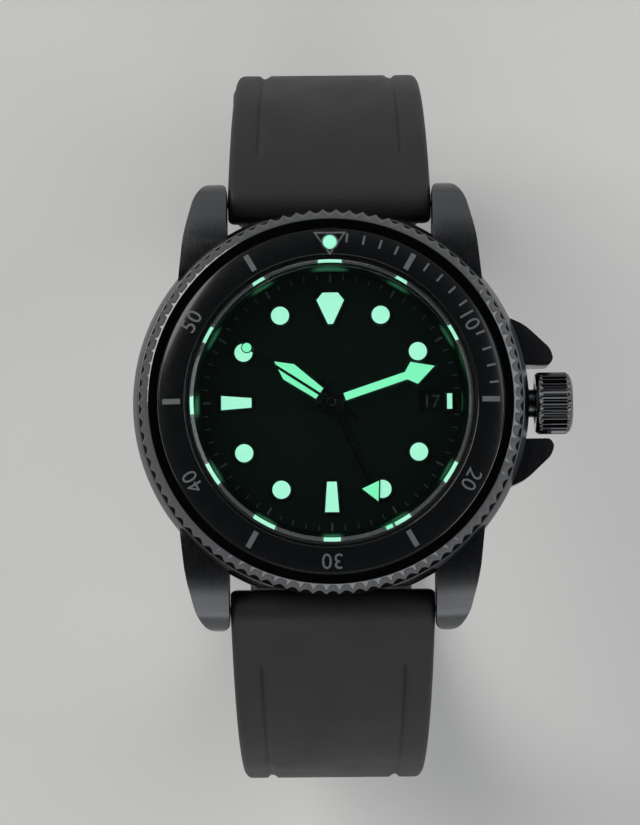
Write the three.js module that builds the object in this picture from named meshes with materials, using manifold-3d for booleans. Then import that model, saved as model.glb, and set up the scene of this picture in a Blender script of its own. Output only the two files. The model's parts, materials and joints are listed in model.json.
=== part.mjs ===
// Automatic dive watch with a 24-hour hand, a rotating bezel and a two-piece rubber strap.
// Millimetres. Origin: centre of the case back's outer face. +Z out of the crystal,
// +Y towards 12 o'clock, +X towards 3 o'clock and the crown. The strap hangs open in a C.
import * as THREE from 'three';
import { mergeVertices } from 'three/addons/utils/BufferGeometryUtils.js';
import Module from 'manifold-3d';

const wasm = await Module();
wasm.setup();

const DEG = Math.PI / 180;
const SEG = 40;              // sides of the large round parts
const FINE = 16;             // sides of the small round parts
const GAP = 0.04;            // running clearance between round parts
const SEAT = 0.02;           // clearance between parts that rest on each other

// ---- driving dimensions: case ----
const CASE_R = 21;
const CASE_TOP = 9.7;        // shoulder under the bezel
const CASE_BOTTOM = 1.2;     // face that the case back screws against
const BORE_R = 14.95;        // movement space
const CRYSTAL_SEAT = 10.3;
const NECK_R = 15.72;        // upright wall that holds the crystal and carries the bezel
const NECK_TOP = 11.35;
const NECK_BORE_R = 15.15;
const LUG_GAP = 22;          // between the lugs
const LUG_OUTER = 15.6;
const LUG_TIP_Y = 24;
const LUG_ROOT = [16.15, 12.9]; // where a lug's flank runs into the round case
const SPRING_BAR_Y = 21.9;
const SPRING_BAR_Z = 4.2;
const LUG_CUT_Y = 19.4;      // straight end of the case between the lugs
const BACK_R = 18.2;
const BACK_THREAD_R = 16.45;
const BACK_RECESS_R = 14.9;  // inside of the threaded rim
const BACK_NOTCHES = 6;
const BACK_GROOVE = [17.0, 17.8];

// ---- driving dimensions: bezel, crystal, dial ----
const BEZEL_R = 20.3;
const BEZEL_BOTTOM = 9.85;
const INSERT_IN = 15.3;
const INSERT_OUT = 18.1;
const INSERT_FLOOR = 11.7;
const INSERT_TOP = 12.6;
const CLICK_GROOVE = [16.9, 18.2];
const PIP_Y = 16.65;
const PIP_R = 0.92;
const CRYSTAL_R = 14.8;
const CRYSTAL_TOP = 13.2;
const CRYSTAL_BEVEL = 0.4;   // width of the bevel, seen from above
const CRYSTAL_BEVEL_DEPTH = 0.55;
const DIAL_R = 14.5;
const DIAL_TOP = 8.1;
const DIAL_BOTTOM = 7.7;
const REHAUT_BOTTOM_R = 13.75;
const REHAUT_TOP_R = 14.45;
const REHAUT_STEP_Z = 9.2;   // the ring's wall is upright below this and slants above it
const MARKER_BOTTOM = 8.13;
const MARKER_TOP = 8.48;
const DOT_RING_R = 10.63;
const DOT_R = 1.13;
const CENTRE_HOLE_R = 1.15;  // for the nested tubes of the hands

// ---- driving dimensions: crown and stem ----
const STEM_Z = 5.2;
const STEM_R = 0.55;
const CROWN_R = 3.3;
const CROWN_IN = 21.75;
const CROWN_OUT = 25.75;
const CROWN_BORE_R = 2.15;
const TUBE_R = 1.5;
const STEM_INNER_END = 9.4;
const STEM_OUTER_END = 24.35;

// ---- driving dimensions: movement ----
const PLATE_R = 12.85;
const PLATE_Z = 6.15;
const BRIDGE_Z = 3.6;
const ARBOR_R = 0.15;
const TRAIN_TOP = 6.1;       // upper end of the arbors, just under the main plate
const TRAIN_LOW = 4.2;       // lower end of the arbors, just over the train bridge
const ROTOR_R = 12.3;
const MOVEMENT_TOP = 7.65;   // just under the dial
const PILLAR_R = 12;

// hands, in degrees clockwise from 12
const HOUR_ANGLE = 305.8;
const MINUTE_ANGLE = 71.45;
const SECONDS_ANGLE = 303;
const GMT_ANGLE = 155.1;

// ---- driving dimensions: strap ----
const STRAP_R1 = 40.5;       // shoulder bend, below each spring bar
const STRAP_R2 = 27.2;       // lower bend
const STRAP_START = -35;     // direction in which the strap leaves the case
const STRAP_THICK = 4.5;     // at the case
const STRAP_THIN = 3.2;      // past the shoulder bend
const STRAP_WIDE = 21.7;
const STRAP_NARROW = 20;
const BUCKLE_S = 78;         // length along the strap to the buckle bar
const TAIL_S = 98;           // length along the strap to the tail's tip
const FIXED_KEEPER_S = 62;
const FREE_KEEPER_S = 51;
const KEEPER_WIDTH = 6;
const BAR_R = 0.86;          // spring bars in the lugs
const BAR_TIP_R = 0.5;
const BUCKLE_BAR_R = 0.76;

// ---- materials ----
function material(color, roughness, metalness) {
  return new THREE.MeshStandardMaterial({ color, roughness, metalness });
}

const STEEL = material(0xb4b7ba, 0.32, 1);
const BLACK_STEEL = material(0x5b5d60, 0.32, 1);
const BLACK_GLOSS = material(0x63676a, 0.1, 1);
const CERAMIC = material(0x0b0d0f, 0.2, 0);
const LUME = material(0xcdf3dc, 0.6, 0);
const DIAL_BLACK = material(0x0c1110, 0.55, 0);
const GLASS = material(0xeaf2f4, 0.05, 0);
const RUBBER = material(0x15171a, 0.8, 0);
const SEAL = material(0x101112, 0.9, 0);
const BRASS = material(0xc9a862, 0.35, 1);
const RHODIUM = material(0xb9bcc0, 0.3, 1);
const SPRING_STEEL = material(0x4f5f86, 0.3, 1);

const watch = new THREE.Group();

// ---- solids ----
function volumeOf(geometry) {
  const p = geometry.attributes.position;
  const index = geometry.index.array;
  const a = new THREE.Vector3();
  const b = new THREE.Vector3();
  const c = new THREE.Vector3();
  let volume = 0;
  for (let i = 0; i < index.length; i += 3) {
    a.fromBufferAttribute(p, index[i]);
    b.fromBufferAttribute(p, index[i + 1]);
    c.fromBufferAttribute(p, index[i + 2]);
    volume += a.dot(b.cross(c)) / 6;
  }
  return volume;
}

// one closed skin: shared vertices, no slivers, faces pointing out
function closed(geometry) {
  const bare = geometry.clone();
  bare.deleteAttribute('normal');
  bare.deleteAttribute('uv');
  const merged = mergeVertices(bare, 1e-4);
  const index = merged.index.array;
  const kept = [];
  for (let i = 0; i < index.length; i += 3) {
    const [a, b, c] = [index[i], index[i + 1], index[i + 2]];
    if (a !== b && b !== c && c !== a) kept.push(a, b, c);
  }
  merged.setIndex(kept);
  if (volumeOf(merged) < 0) {
    for (let i = 0; i < kept.length; i += 3) {
      [kept[i + 1], kept[i + 2]] = [kept[i + 2], kept[i + 1]];
    }
    merged.setIndex(kept);
  }
  return merged;
}

function toSolid(geometry) {
  const skin = closed(geometry);
  return new wasm.Manifold(new wasm.Mesh({
    numProp: 3,
    vertProperties: new Float32Array(skin.attributes.position.array),
    triVerts: new Uint32Array(skin.index.array),
  }));
}

function toGeometry(solid) {
  const mesh = solid.getMesh();
  const geometry = new THREE.BufferGeometry();
  geometry.setAttribute('position', new THREE.BufferAttribute(new Float32Array(mesh.vertProperties), 3));
  geometry.setIndex(new THREE.BufferAttribute(new Uint32Array(mesh.triVerts), 1));
  return geometry;
}

function combine(method, first, others) {
  let solid = toSolid(first);
  for (const other of others) solid = solid[method](toSolid(other));
  return toGeometry(solid);
}

const join = (first, ...others) => combine('add', first, others);
const cut = (first, ...others) => combine('subtract', first, others);
const common = (first, ...others) => combine('intersect', first, others);

// profile of [radius, height] pairs turned about Z
function turned(profile, sides = SEG) {
  const points = profile.map(([r, z]) => new THREE.Vector2(r, z));
  if (profile[0][0] > 0) points.push(points[0].clone());
  return closed(new THREE.LatheGeometry(points, sides).rotateX(Math.PI / 2));
}

function ring(inner, outer, z0, z1, sides = SEG) {
  return turned([[inner, z0], [outer, z0], [outer, z1], [inner, z1]], sides);
}

function disc(radius, z0, z1, sides = SEG) {
  return turned([[0, z0], [radius, z0], [radius, z1], [0, z1]], sides);
}

// the same, along the crown's axis: height becomes distance from the dial's centre
function alongStem(geometry) {
  return geometry.rotateY(Math.PI / 2).translate(0, 0, STEM_Z);
}

// rod along X
function acrossBar(radius, half, sides = 12) {
  return disc(radius, -half, half, sides).rotateY(Math.PI / 2);
}

function outline(points) {
  return new THREE.Shape(points.map(([x, y]) => new THREE.Vector2(x, y)));
}

function plate(shape, z0, z1) {
  const settings = { depth: z1 - z0, bevelEnabled: false, curveSegments: 8 };
  return closed(new THREE.ExtrudeGeometry(shape, settings).translate(0, 0, z0));
}

function box(x0, x1, y0, y1, z0, z1) {
  const geometry = new THREE.BoxGeometry(x1 - x0, y1 - y0, z1 - z0);
  return geometry.translate((x0 + x1) / 2, (y0 + y1) / 2, (z0 + z1) / 2);
}

// an outline of [y, z] points, extruded along X
function sideways(points, x0, x1) {
  const geometry = plate(outline(points), x0, x1);
  const turn = new THREE.Matrix4().makeBasis(
    new THREE.Vector3(0, 1, 0), new THREE.Vector3(0, 0, 1), new THREE.Vector3(1, 0, 0));
  return geometry.applyMatrix4(turn);
}

function mirrored(geometry, x, y) {
  return closed(geometry.clone().scale(x, y, 1));
}

function polar(radius, degrees) {
  return [radius * Math.cos(degrees * DEG), radius * Math.sin(degrees * DEG)];
}

function arc(radius, from, to, steps, x = 0, y = 0) {
  const points = [];
  for (let i = 0; i <= steps; i += 1) {
    const [px, py] = polar(radius, from + (to - from) * i / steps);
    points.push([x + px, y + py]);
  }
  return points;
}

// a piece of the watch
function piece(name, geometry, finish, x = 0, y = 0, turn = 0) {
  geometry.computeVertexNormals();
  const mesh = new THREE.Mesh(geometry, finish);
  mesh.name = name;
  mesh.position.set(x, y, 0);
  mesh.rotation.z = turn;
  watch.add(mesh);
  return mesh;
}

// ---- case ----
function caseBody() {
  const body = turned([
    [BACK_THREAD_R + GAP, CASE_BOTTOM], [BACK_GROOVE[0], CASE_BOTTOM], [BACK_GROOVE[0], 1.75],
    [BACK_GROOVE[1], 1.75], [BACK_GROOVE[1], CASE_BOTTOM], [BACK_R + 0.1, CASE_BOTTOM],
    [BACK_R + 0.1, 0.7], [19.4, 0.7], [20.5, 2.0], [CASE_R, 4.0], [CASE_R, 8.0],
    [20.4, CASE_TOP], [NECK_R, CASE_TOP], [NECK_R, NECK_TOP], [NECK_BORE_R, NECK_TOP],
    [NECK_BORE_R, CRYSTAL_SEAT], [BORE_R, CRYSTAL_SEAT], [BORE_R, 2.4], [BACK_THREAD_R + GAP, 2.4],
  ]);
  const lugPlan = plate(outline([
    [LUG_GAP / 2, 15], [LUG_GAP / 2, LUG_TIP_Y - 0.6], [11.6, LUG_TIP_Y], [13.3, LUG_TIP_Y],
    [14.3, 22.9], [LUG_OUTER, 18], LUG_ROOT,
  ]), 0, 10);
  const lugSide = sideways([
    [12, CASE_BOTTOM], [20.5, 1.3], [LUG_TIP_Y, 2.4], [LUG_TIP_Y, 4.6], [22.8, 6.6], [18.5, 8.7],
    [12, 9.2],
  ], 10, 17);
  const lug = common(lugPlan, lugSide);
  const guard = plate(outline([
    [17.5, 9.6], [20.6, 8.2], [23.4, 5.6], [23.7, 4.6], [23.2, 3.9], [17.5, 3.9],
  ]), 2.6, 7.8);
  const endCut = box(-LUG_GAP / 2, LUG_GAP / 2, LUG_CUT_Y, LUG_TIP_Y + 2, -1, CASE_TOP - 0.01);
  const barHole = acrossBar(BAR_TIP_R + 0.06, 12.5).translate(0, 0, SPRING_BAR_Z);
  return cut(
    join(body, lug, mirrored(lug, -1, 1), mirrored(lug, 1, -1), mirrored(lug, -1, -1),
      guard, mirrored(guard, 1, -1)),
    endCut, mirrored(endCut, 1, -1),
    barHole.clone().translate(0, SPRING_BAR_Y, 0), barHole.clone().translate(0, -SPRING_BAR_Y, 0),
    alongStem(disc(TUBE_R + GAP, 12, 24, FINE)),
    disc(BORE_R, 2.3, 9),
  );
}

function caseBack() {
  const lid = turned([
    [0, 0], [15.4, 0], [17.4, 0.35], [BACK_R, 0.7], [BACK_R, 1.15], [BACK_THREAD_R, 1.15],
    [BACK_THREAD_R, 2.3], [BACK_RECESS_R, 2.3], [BACK_RECESS_R, 1.5], [0, 1.5],
  ]);
  const notches = [];
  for (let i = 0; i < BACK_NOTCHES; i += 1) {
    notches.push(box(16, 19, -1.1, 1.1, -1, 0.8).rotateZ((i + 0.5) * 2 * Math.PI / BACK_NOTCHES));
  }
  return cut(lid, ...notches);
}

piece('mid_case', caseBody(), BLACK_STEEL);
piece('case_back', caseBack(), BLACK_STEEL);
piece('case_back_gasket', ring(BACK_GROOVE[0] + 0.05, BACK_GROOVE[1] - 0.05, CASE_BOTTOM, 1.7), SEAL);

// ---- bezel ----
function bezelBody() {
  return turned([
    [NECK_R + 0.1, BEZEL_BOTTOM], [CLICK_GROOVE[0], BEZEL_BOTTOM], [CLICK_GROOVE[0], 10.35],
    [CLICK_GROOVE[1], 10.35], [CLICK_GROOVE[1], BEZEL_BOTTOM], [19.9, BEZEL_BOTTOM],
    [BEZEL_R, 10.2], [BEZEL_R, 11.3], [19.2, 12.2],
    [INSERT_OUT + 0.05, 12.25], [INSERT_OUT + 0.05, INSERT_FLOOR], [INSERT_IN - 0.05, INSERT_FLOOR],
    [INSERT_IN - 0.05, 11.45], [NECK_R + 0.1, 11.45],
  ]);
}

function clickSpring() {
  const leaf = outline([...arc(17.95, 20, 340, 16), ...arc(17.1, 340, 20, 16)]);
  const tab = box(17.15, 17.9, -0.6, 0.6, 9.8, 10.15).rotateZ(25 * DEG);
  return join(plate(leaf, 9.74, 9.86), tab);
}

function insert() {
  const band = turned([
    [INSERT_IN, INSERT_FLOOR + 0.03], [INSERT_OUT, INSERT_FLOOR + 0.03],
    [INSERT_OUT, 12.2], [INSERT_IN + 0.15, INSERT_TOP], [INSERT_IN, INSERT_TOP - 0.1],
  ]);
  return cut(band, disc(PIP_R + GAP, 11, 14, FINE).translate(0, PIP_Y, 0));
}

function pip() {
  const low = INSERT_FLOOR + 0.04;
  return turned([[0, low], [PIP_R, low], [PIP_R, 12.45], [0.74, 12.6], [0, 12.66]], FINE);
}

piece('bezel', bezelBody(), BLACK_STEEL);
piece('bezel_click_spring', clickSpring(), SPRING_STEEL);
piece('bezel_insert', insert(), CERAMIC);
piece('bezel_pip', pip(), LUME, 0, PIP_Y);

// ---- crystal and rehaut ----
piece('crystal', turned([
  [0, CRYSTAL_SEAT + SEAT], [CRYSTAL_R, CRYSTAL_SEAT + SEAT],
  [CRYSTAL_R, CRYSTAL_TOP - CRYSTAL_BEVEL_DEPTH], [CRYSTAL_R - CRYSTAL_BEVEL, CRYSTAL_TOP],
  [0, CRYSTAL_TOP],
]), GLASS);
piece('crystal_gasket', ring(CRYSTAL_R + SEAT, NECK_BORE_R - SEAT, CRYSTAL_SEAT + SEAT, 11.4), SEAL);
piece('chapter_ring', turned([
  [REHAUT_BOTTOM_R, DIAL_TOP + SEAT], [BORE_R - 0.03, DIAL_TOP + SEAT],
  [BORE_R - 0.03, CRYSTAL_SEAT - 0.03], [REHAUT_TOP_R, CRYSTAL_SEAT - 0.03],
  [REHAUT_BOTTOM_R, REHAUT_STEP_Z],
]), BLACK_GLOSS);

// ---- dial and hour markers ----
function dialPlate() {
  const window = box(9.3, 11.85, -1.2, 1.2, 7, 9);
  return cut(ring(CENTRE_HOLE_R, DIAL_R, DIAL_BOTTOM, DIAL_TOP), window);
}

function marker(name, points, clockwise) {
  piece(name, plate(outline(points), MARKER_BOTTOM, MARKER_TOP), LUME, 0, 0, -clockwise * DEG);
}

piece('dial', dialPlate(), DIAL_BLACK);
marker('marker_12', [
  [-0.9, 11.85], [-1.66, 10.87], [-0.38, 8.1], [0.38, 8.1], [1.66, 10.87], [0.9, 11.85],
], 0);
marker('marker_3', [[-0.98, 12.94], [-0.98, 12.06], [0.98, 12.06], [0.98, 12.94]], 90);
marker('marker_6', [[-0.94, 11.84], [-0.67, 8.22], [0.67, 8.22], [0.94, 11.84]], 180);
marker('marker_9', [[-0.94, 11.84], [-0.67, 8.22], [0.67, 8.22], [0.94, 11.84]], 270);
for (const hour of [1, 2, 4, 5, 7, 8, 10, 11]) {
  const [x, y] = polar(DOT_RING_R, 90 - hour * 30);
  piece(`marker_${hour}`, disc(DOT_R, MARKER_BOTTOM, MARKER_TOP, FINE), LUME, x, y);
}

// ---- hands: outline pointing to 12, hub of radius hub, bored to fit its tube ----
function hand(name, points, hub, bore, z0, z1, clockwise, finish = RHODIUM) {
  const blade = plate(outline(points), z0, z1);
  const body = cut(join(blade, disc(hub, z0, z1, 20)), disc(bore, z0 - 1, z1 + 1, 12));
  piece(name, body, finish, 0, 0, -clockwise * DEG);
}

function bothSides(half) {
  const left = half.map(([x, y]) => [-x, y]).reverse();
  return [...half, ...left.filter(([x]) => x !== 0)];
}

hand('gmt_hand', bothSides([
  [0.5, -2.6], [0.2, 0], [0.2, 9.42], [1.28, 9.42], [0, 11.95],
]), 1.35, 1.02, 8.55, 8.7, GMT_ANGLE);
hand('hour_hand', bothSides([
  [0.4, -1.6], [0.45, 0.6], [0.86, 1.3], [1.17, 5.5], [0, 7.7],
]), 1.15, 0.74, 8.9, 9.08, HOUR_ANGLE);
hand('minute_hand', bothSides([
  [0.3, -1.8], [0.56, 1.3], [0.56, 8.24], [1.46, 9.14], [0, 11.88],
]), 0.95, 0.44, 9.25, 9.43, MINUTE_ANGLE);
hand('seconds_hand', [
  [-0.15, 0], [-0.15, -2.3], [-0.38, -2.5], [-0.38, -3.4], [0.38, -3.4], [0.38, -2.5], [0.15, -2.3],
  [0.15, 5], [0.11, 9.96], ...arc(0.6, -80, 260, 14, 0, 10.54), [-0.11, 9.96], [-0.15, 5],
], 0.5, ARBOR_R + 0.02, 9.58, 9.72, SECONDS_ANGLE);

// ---- crown and stem ----
piece('crown_tube', alongStem(ring(STEM_R + 0.06, TUBE_R, 15.1, 23.4, FINE)), BLACK_STEEL);
piece('crown', alongStem(turned([
  [CROWN_BORE_R, CROWN_IN], [CROWN_R - 0.25, CROWN_IN], [CROWN_R, CROWN_IN + 0.3],
  [CROWN_R, CROWN_OUT - 0.7], [CROWN_R - 0.6, CROWN_OUT], [0, CROWN_OUT],
  [0, STEM_OUTER_END + 0.05], [STEM_R + SEAT, STEM_OUTER_END + 0.05],
  [STEM_R + SEAT, 23.7], [CROWN_BORE_R, 23.7],
], 24)), BLACK_STEEL);
piece('crown_gasket', alongStem(ring(TUBE_R + 0.03, CROWN_BORE_R - 0.03, 22.7, 23.2, FINE)), SEAL);
piece('winding_stem', alongStem(turned([
  [0, STEM_INNER_END], [0.3, STEM_INNER_END], [0.3, 10.6], [STEM_R, 10.6],
  [STEM_R, STEM_OUTER_END], [0, STEM_OUTER_END],
], 12)), STEEL);

// ---- movement: gears ----
const ADDENDUM = 0.9;
const DEDENDUM = 1.3;

// pointed teeth; the first tooth lies at angle phase
function toothed(teeth, module, z0, z1, phase = 0) {
  const tip = teeth * module / 2 + ADDENDUM * module;
  const root = teeth * module / 2 - DEDENDUM * module;
  const points = [];
  for (let i = 0; i < 2 * teeth; i += 1) {
    const angle = phase + i * Math.PI / teeth;
    const radius = i % 2 ? root : tip;
    points.push([radius * Math.cos(angle), radius * Math.sin(angle)]);
  }
  return plate(outline(points), z0, z1);
}

// first-tooth angle of a gear that meshes with another one lying at direction from it
function meshed(phase, teeth, otherTeeth, direction) {
  return direction + Math.PI - (teeth / otherTeeth) * (phase - direction) - Math.PI / otherTeeth;
}

function arbor(radius, z0, z1, sides = 10) {
  return disc(radius, z0, z1, sides);
}

const BARREL = { at: polar(5.6, 130), direction: 130 * DEG };
const THIRD = { at: polar(3.24, -30), direction: -30 * DEG };
const ESCAPE = { at: polar(3.3, -115), direction: -115 * DEG };
const BALANCE_D = 8.0;
const PALLET_D = 5.45;
const BALANCE_AT = polar(BALANCE_D, -115);
const PALLET_AT = polar(PALLET_D, -115);
const MINUTE_WHEEL = { at: polar(2.4, 60), direction: 60 * DEG };
const DATE_WHEEL = { at: polar(2.88, -60), direction: -60 * DEG };

const centreWheel = cut(
  join(toothed(8, 0.2, 4.85, 5.25), toothed(48, 0.12, 5.9, 6.05),
    toothed(8, 0.15, 6.68, 6.87), arbor(0.42, 4.85, 9.42, 12)),
  arbor(0.19, 4, 10, 12),
);
piece('centre_wheel', centreWheel, BRASS);
piece('third_wheel', join(
  toothed(6, 0.12, 5.82, 6.08, meshed(0, 48, 6, THIRD.direction)),
  toothed(45, 0.127, 4.55, 4.7, meshed(0, 6, 45, THIRD.direction)),
  arbor(ARBOR_R, 4.5, TRAIN_TOP),
), BRASS, ...THIRD.at);
piece('fourth_wheel', join(
  toothed(6, 0.127, 4.5, 4.76), toothed(60, 0.1, 4.3, 4.45), arbor(ARBOR_R, TRAIN_LOW, 9.7),
), BRASS);
piece('escape_wheel', join(
  toothed(6, 0.1, 4.25, 4.5, meshed(0, 60, 6, ESCAPE.direction)),
  toothed(18, 0.15, 5.4, 5.5), arbor(ARBOR_R, TRAIN_LOW, TRAIN_TOP),
), BRASS, ...ESCAPE.at);
piece('barrel_drum', join(
  cut(toothed(48, 0.2, 4.9, 5.15, meshed(0, 8, 48, BARREL.direction)), disc(4.05, 4, 6, 20)),
  turned([[4.05, 4.9], [4.3, 4.9], [4.3, 5.8], [0.66, 5.8], [0.66, 5.65], [4.05, 5.65]], 20),
), BRASS, ...BARREL.at);
piece('barrel_arbor', join(
  arbor(0.6, TRAIN_LOW - 0.05, TRAIN_TOP, 16), disc(1.0, 4.95, 5.5, 16),
), STEEL, ...BARREL.at);

// a flat strip wound from radius r0 to r1
function spiral(r0, r1, turns, width, z0, z1, steps) {
  const outer = [];
  const inner = [];
  for (let i = 0; i <= steps; i += 1) {
    const t = i / steps;
    const radius = r0 + (r1 - r0) * t;
    outer.push(polar(radius + width / 2, t * turns * 360));
    inner.push(polar(radius - width / 2, t * turns * 360));
  }
  return plate(outline([...outer, ...inner.reverse()]), z0, z1);
}

piece('mainspring', spiral(1.3, 3.8, 3, 0.3, 5.0, 5.55, 30), SPRING_STEEL, ...BARREL.at);
piece('hairspring', spiral(0.5, 1.9, 3, 0.1, 4.15, 4.3, 33), SPRING_STEEL, ...BALANCE_AT);

// ---- movement: escapement ----
const spoke = box(-3.2, 3.2, -0.2, 0.2, 4.65, 4.9);
piece('balance_wheel', join(
  ring(3.1, 3.6, 4.6, 5.0, 20), spoke, spoke.clone().rotateZ(Math.PI / 2),
  arbor(ARBOR_R, 4.0, TRAIN_TOP), disc(0.42, 5.3, 5.55, 8),
), BRASS, ...BALANCE_AT);
piece('pallet_fork', join(
  plate(outline([
    [2.0, 0.16], [0.35, 0.22], [-0.35, 1.72], [-0.95, 1.86], [-0.9, 1.5], [-0.35, 0],
    [-0.9, -1.5], [-0.95, -1.86], [-0.35, -1.72], [0.35, -0.22], [2.0, -0.16],
  ]), 5.4, 5.5),
  arbor(ARBOR_R, 5.1, TRAIN_TOP),
), STEEL, ...PALLET_AT, -115 * DEG);

// ---- movement: bridges and main plate ----
piece('main_plate', turned([
  [0.5, PLATE_Z], [PLATE_R, PLATE_Z], [PLATE_R, MOVEMENT_TOP], [12.5, MOVEMENT_TOP], [12.5, 7.25],
  [8.6, 7.25], [8.6, 6.6], [0.5, 6.6],
], 24), BRASS);

function trainBridge() {
  const pillars = [];
  for (const angle of [55, 175, -35]) {
    const [x, y] = polar(PILLAR_R, angle);
    pillars.push(disc(0.55, BRIDGE_Z + 0.2, TRAIN_TOP, 8).translate(x, y, 0));
  }
  const post = disc(0.8, 2.55, BRIDGE_Z + 0.2, 16);
  const pocket = disc(4.5, 3, 5, 20).translate(...BALANCE_AT, 0);
  const mouth = box(BALANCE_D, 14, -3.4, 3.4, 3, 5).rotateZ(-115 * DEG);
  return cut(join(disc(12.7, BRIDGE_Z, 4.1, 24), post, ...pillars), pocket, mouth);
}

piece('train_bridge', trainBridge(), RHODIUM);
piece('balance_cock', join(
  plate(outline([...arc(1.2, 90, 270, 8, BALANCE_D, 0), [12.75, -1.4], [12.75, 1.4]]), 3.5, 3.95),
  box(11.9, 12.75, -1.4, 1.4, 3.7, TRAIN_TOP),
), RHODIUM, 0, 0, -115 * DEG);
piece('rotor', cut(join(
  plate(outline([...arc(ROTOR_R, 180, 360, 14), ...arc(9.6, 360, 180, 12)]), 2.5, 3.3),
  plate(outline([...arc(9.8, 200, 340, 10), [1.6, 1.2], [-1.6, 1.2]]), 2.6, 2.95),
  disc(2.2, 2.6, 3.3, 20),
), disc(0.86, 2, 4, 16)), RHODIUM);
piece('movement_holder', cut(
  ring(PLATE_R + 0.05, BORE_R - 0.03, 2.5, MOVEMENT_TOP), alongStem(disc(0.75, 10, 18, 12)),
), STEEL);

// ---- movement: motion works and calendar ----
piece('minute_wheel', join(
  toothed(24, 0.15, 6.7, 6.85, meshed(0, 8, 24, MINUTE_WHEEL.direction)),
  toothed(6, 0.16, 6.84, 7.05), arbor(ARBOR_R, 6.65, 7.2),
), BRASS, ...MINUTE_WHEEL.at);

const hourPhase = meshed(0, 6, 24, MINUTE_WHEEL.direction + Math.PI);
const driverPhase = meshed(0, 12, 24, DATE_WHEEL.direction);
piece('hour_wheel', cut(join(
  toothed(24, 0.16, 6.92, 7.05, hourPhase), toothed(12, 0.16, 7.04, 7.25), arbor(0.72, 6.92, 9.06, 16),
), arbor(0.46, 6, 10, 16)), BRASS);
piece('date_driving_wheel', join(
  toothed(24, 0.16, 7.08, 7.25, driverPhase), toothed(24, 0.12, 7.24, 7.42),
  arbor(ARBOR_R, 6.65, 7.55),
), BRASS, ...DATE_WHEEL.at);
piece('gmt_wheel', cut(join(
  toothed(24, 0.12, 7.3, 7.42, meshed(0, 24, 24, DATE_WHEEL.direction + Math.PI)),
  arbor(1.0, 7.3, 8.68, 16),
), arbor(0.76, 6, 10, 16)), BRASS);

const DATES = 31;
function dateRing() {
  const teeth = [];
  for (let i = 0; i < 2 * DATES; i += 1) {
    teeth.push(polar(i % 2 ? 8.75 : 9.1, i * 180 / DATES));
  }
  const band = outline(arc(12.35, 0, 350, 35));
  band.holes.push(new THREE.Path(teeth.map(([x, y]) => new THREE.Vector2(x, y))));
  return plate(band, 7.3, 7.55);
}
piece('date_ring', dateRing(), DIAL_BLACK);

// ---- strap ----
// point of the strap's centre line at length s from a spring bar, on the 12 o'clock side
function strapAt(s) {
  const first = (90 + STRAP_START) * DEG * STRAP_R1;
  const second = Math.PI / 2 * STRAP_R2;
  const startAngle = STRAP_START * DEG;
  const c1 = [
    SPRING_BAR_Y + STRAP_R1 * Math.sin(startAngle), SPRING_BAR_Z - STRAP_R1 * Math.cos(startAngle),
  ];
  const c2 = [c1[0] + STRAP_R1 - STRAP_R2, c1[1]];
  const on = (centre, radius, heading) => ({
    y: centre[0] - radius * Math.sin(heading), z: centre[1] + radius * Math.cos(heading), heading,
  });
  if (s <= first) return on(c1, STRAP_R1, startAngle - s / STRAP_R1);
  if (s <= first + second) return on(c2, STRAP_R2, -Math.PI / 2 - (s - first) / STRAP_R2);
  return { y: c2[0] - (s - first - second), z: c2[1] - STRAP_R2, heading: -Math.PI };
}

const SHOULDER_S = (90 + STRAP_START) * DEG * STRAP_R1;

function strapThickness(s) {
  return STRAP_THIN + (STRAP_THICK - STRAP_THIN) * Math.max(0, 1 - s / SHOULDER_S);
}

// point at length s, offset outwards by off
function strapOffset(s, off) {
  const p = strapAt(s);
  return [p.y - off * Math.sin(p.heading), p.z + off * Math.cos(p.heading)];
}

function strapEnd(s, radius, from, to) {
  const p = strapAt(s);
  return arc(radius, p.heading / DEG + from, p.heading / DEG + to, 8, p.y, p.z);
}

// flat-sided strap, narrowing from the case to the shoulder bend
function strapBody(length, tip) {
  const steps = 20;
  const outside = [];
  const inside = [];
  for (let i = 0; i <= steps; i += 1) {
    const s = 2 + (length - 2) * i / steps;
    outside.push(strapOffset(s, strapThickness(s) / 2));
    inside.push(strapOffset(s, -strapThickness(s) / 2));
  }
  const caseEnd = strapEnd(0, STRAP_THICK / 2, 270, 90);
  const points = [...caseEnd, ...outside, ...tip, ...inside.reverse()];
  const body = sideways(points, -0.5, 0.5);
  const p = body.attributes.position;
  const low = strapAt(SHOULDER_S).z;
  for (let i = 0; i < p.count; i += 1) {
    const t = Math.min(1, Math.max(0, (p.getZ(i) - low) / (SPRING_BAR_Z - low)));
    p.setX(i, p.getX(i) * (STRAP_NARROW + (STRAP_WIDE - STRAP_NARROW) * t));
  }
  const bore = acrossBar(BAR_R + 0.06, 13).translate(0, SPRING_BAR_Y, SPRING_BAR_Z);
  return cut(body, bore);
}

// frame at length s: X across, Y outwards, Z back along the strap
function strapFrame(s, tilt = 0) {
  const p = strapAt(s);
  const heading = p.heading + tilt;
  const matrix = new THREE.Matrix4().makeBasis(
    new THREE.Vector3(1, 0, 0),
    new THREE.Vector3(0, -Math.sin(heading), Math.cos(heading)),
    new THREE.Vector3(0, -Math.cos(heading), -Math.sin(heading)));
  return matrix.setPosition(0, p.y, p.z);
}

function buckleStrap() {
  const endR = 1.85;
  const body = strapBody(BUCKLE_S - 1, strapEnd(BUCKLE_S, endR, 90, -90));
  const slot = box(-1.7, 1.7, -4, 4, -3, 3).applyMatrix4(strapFrame(BUCKLE_S));
  const bore = acrossBar(BUCKLE_BAR_R + 0.06, 14).applyMatrix4(strapFrame(BUCKLE_S));
  return cut(body, slot, bore);
}

const HOLE_FIRST_S = 43;
const HOLE_PITCH = 7;
const HOLES = 7;

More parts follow.
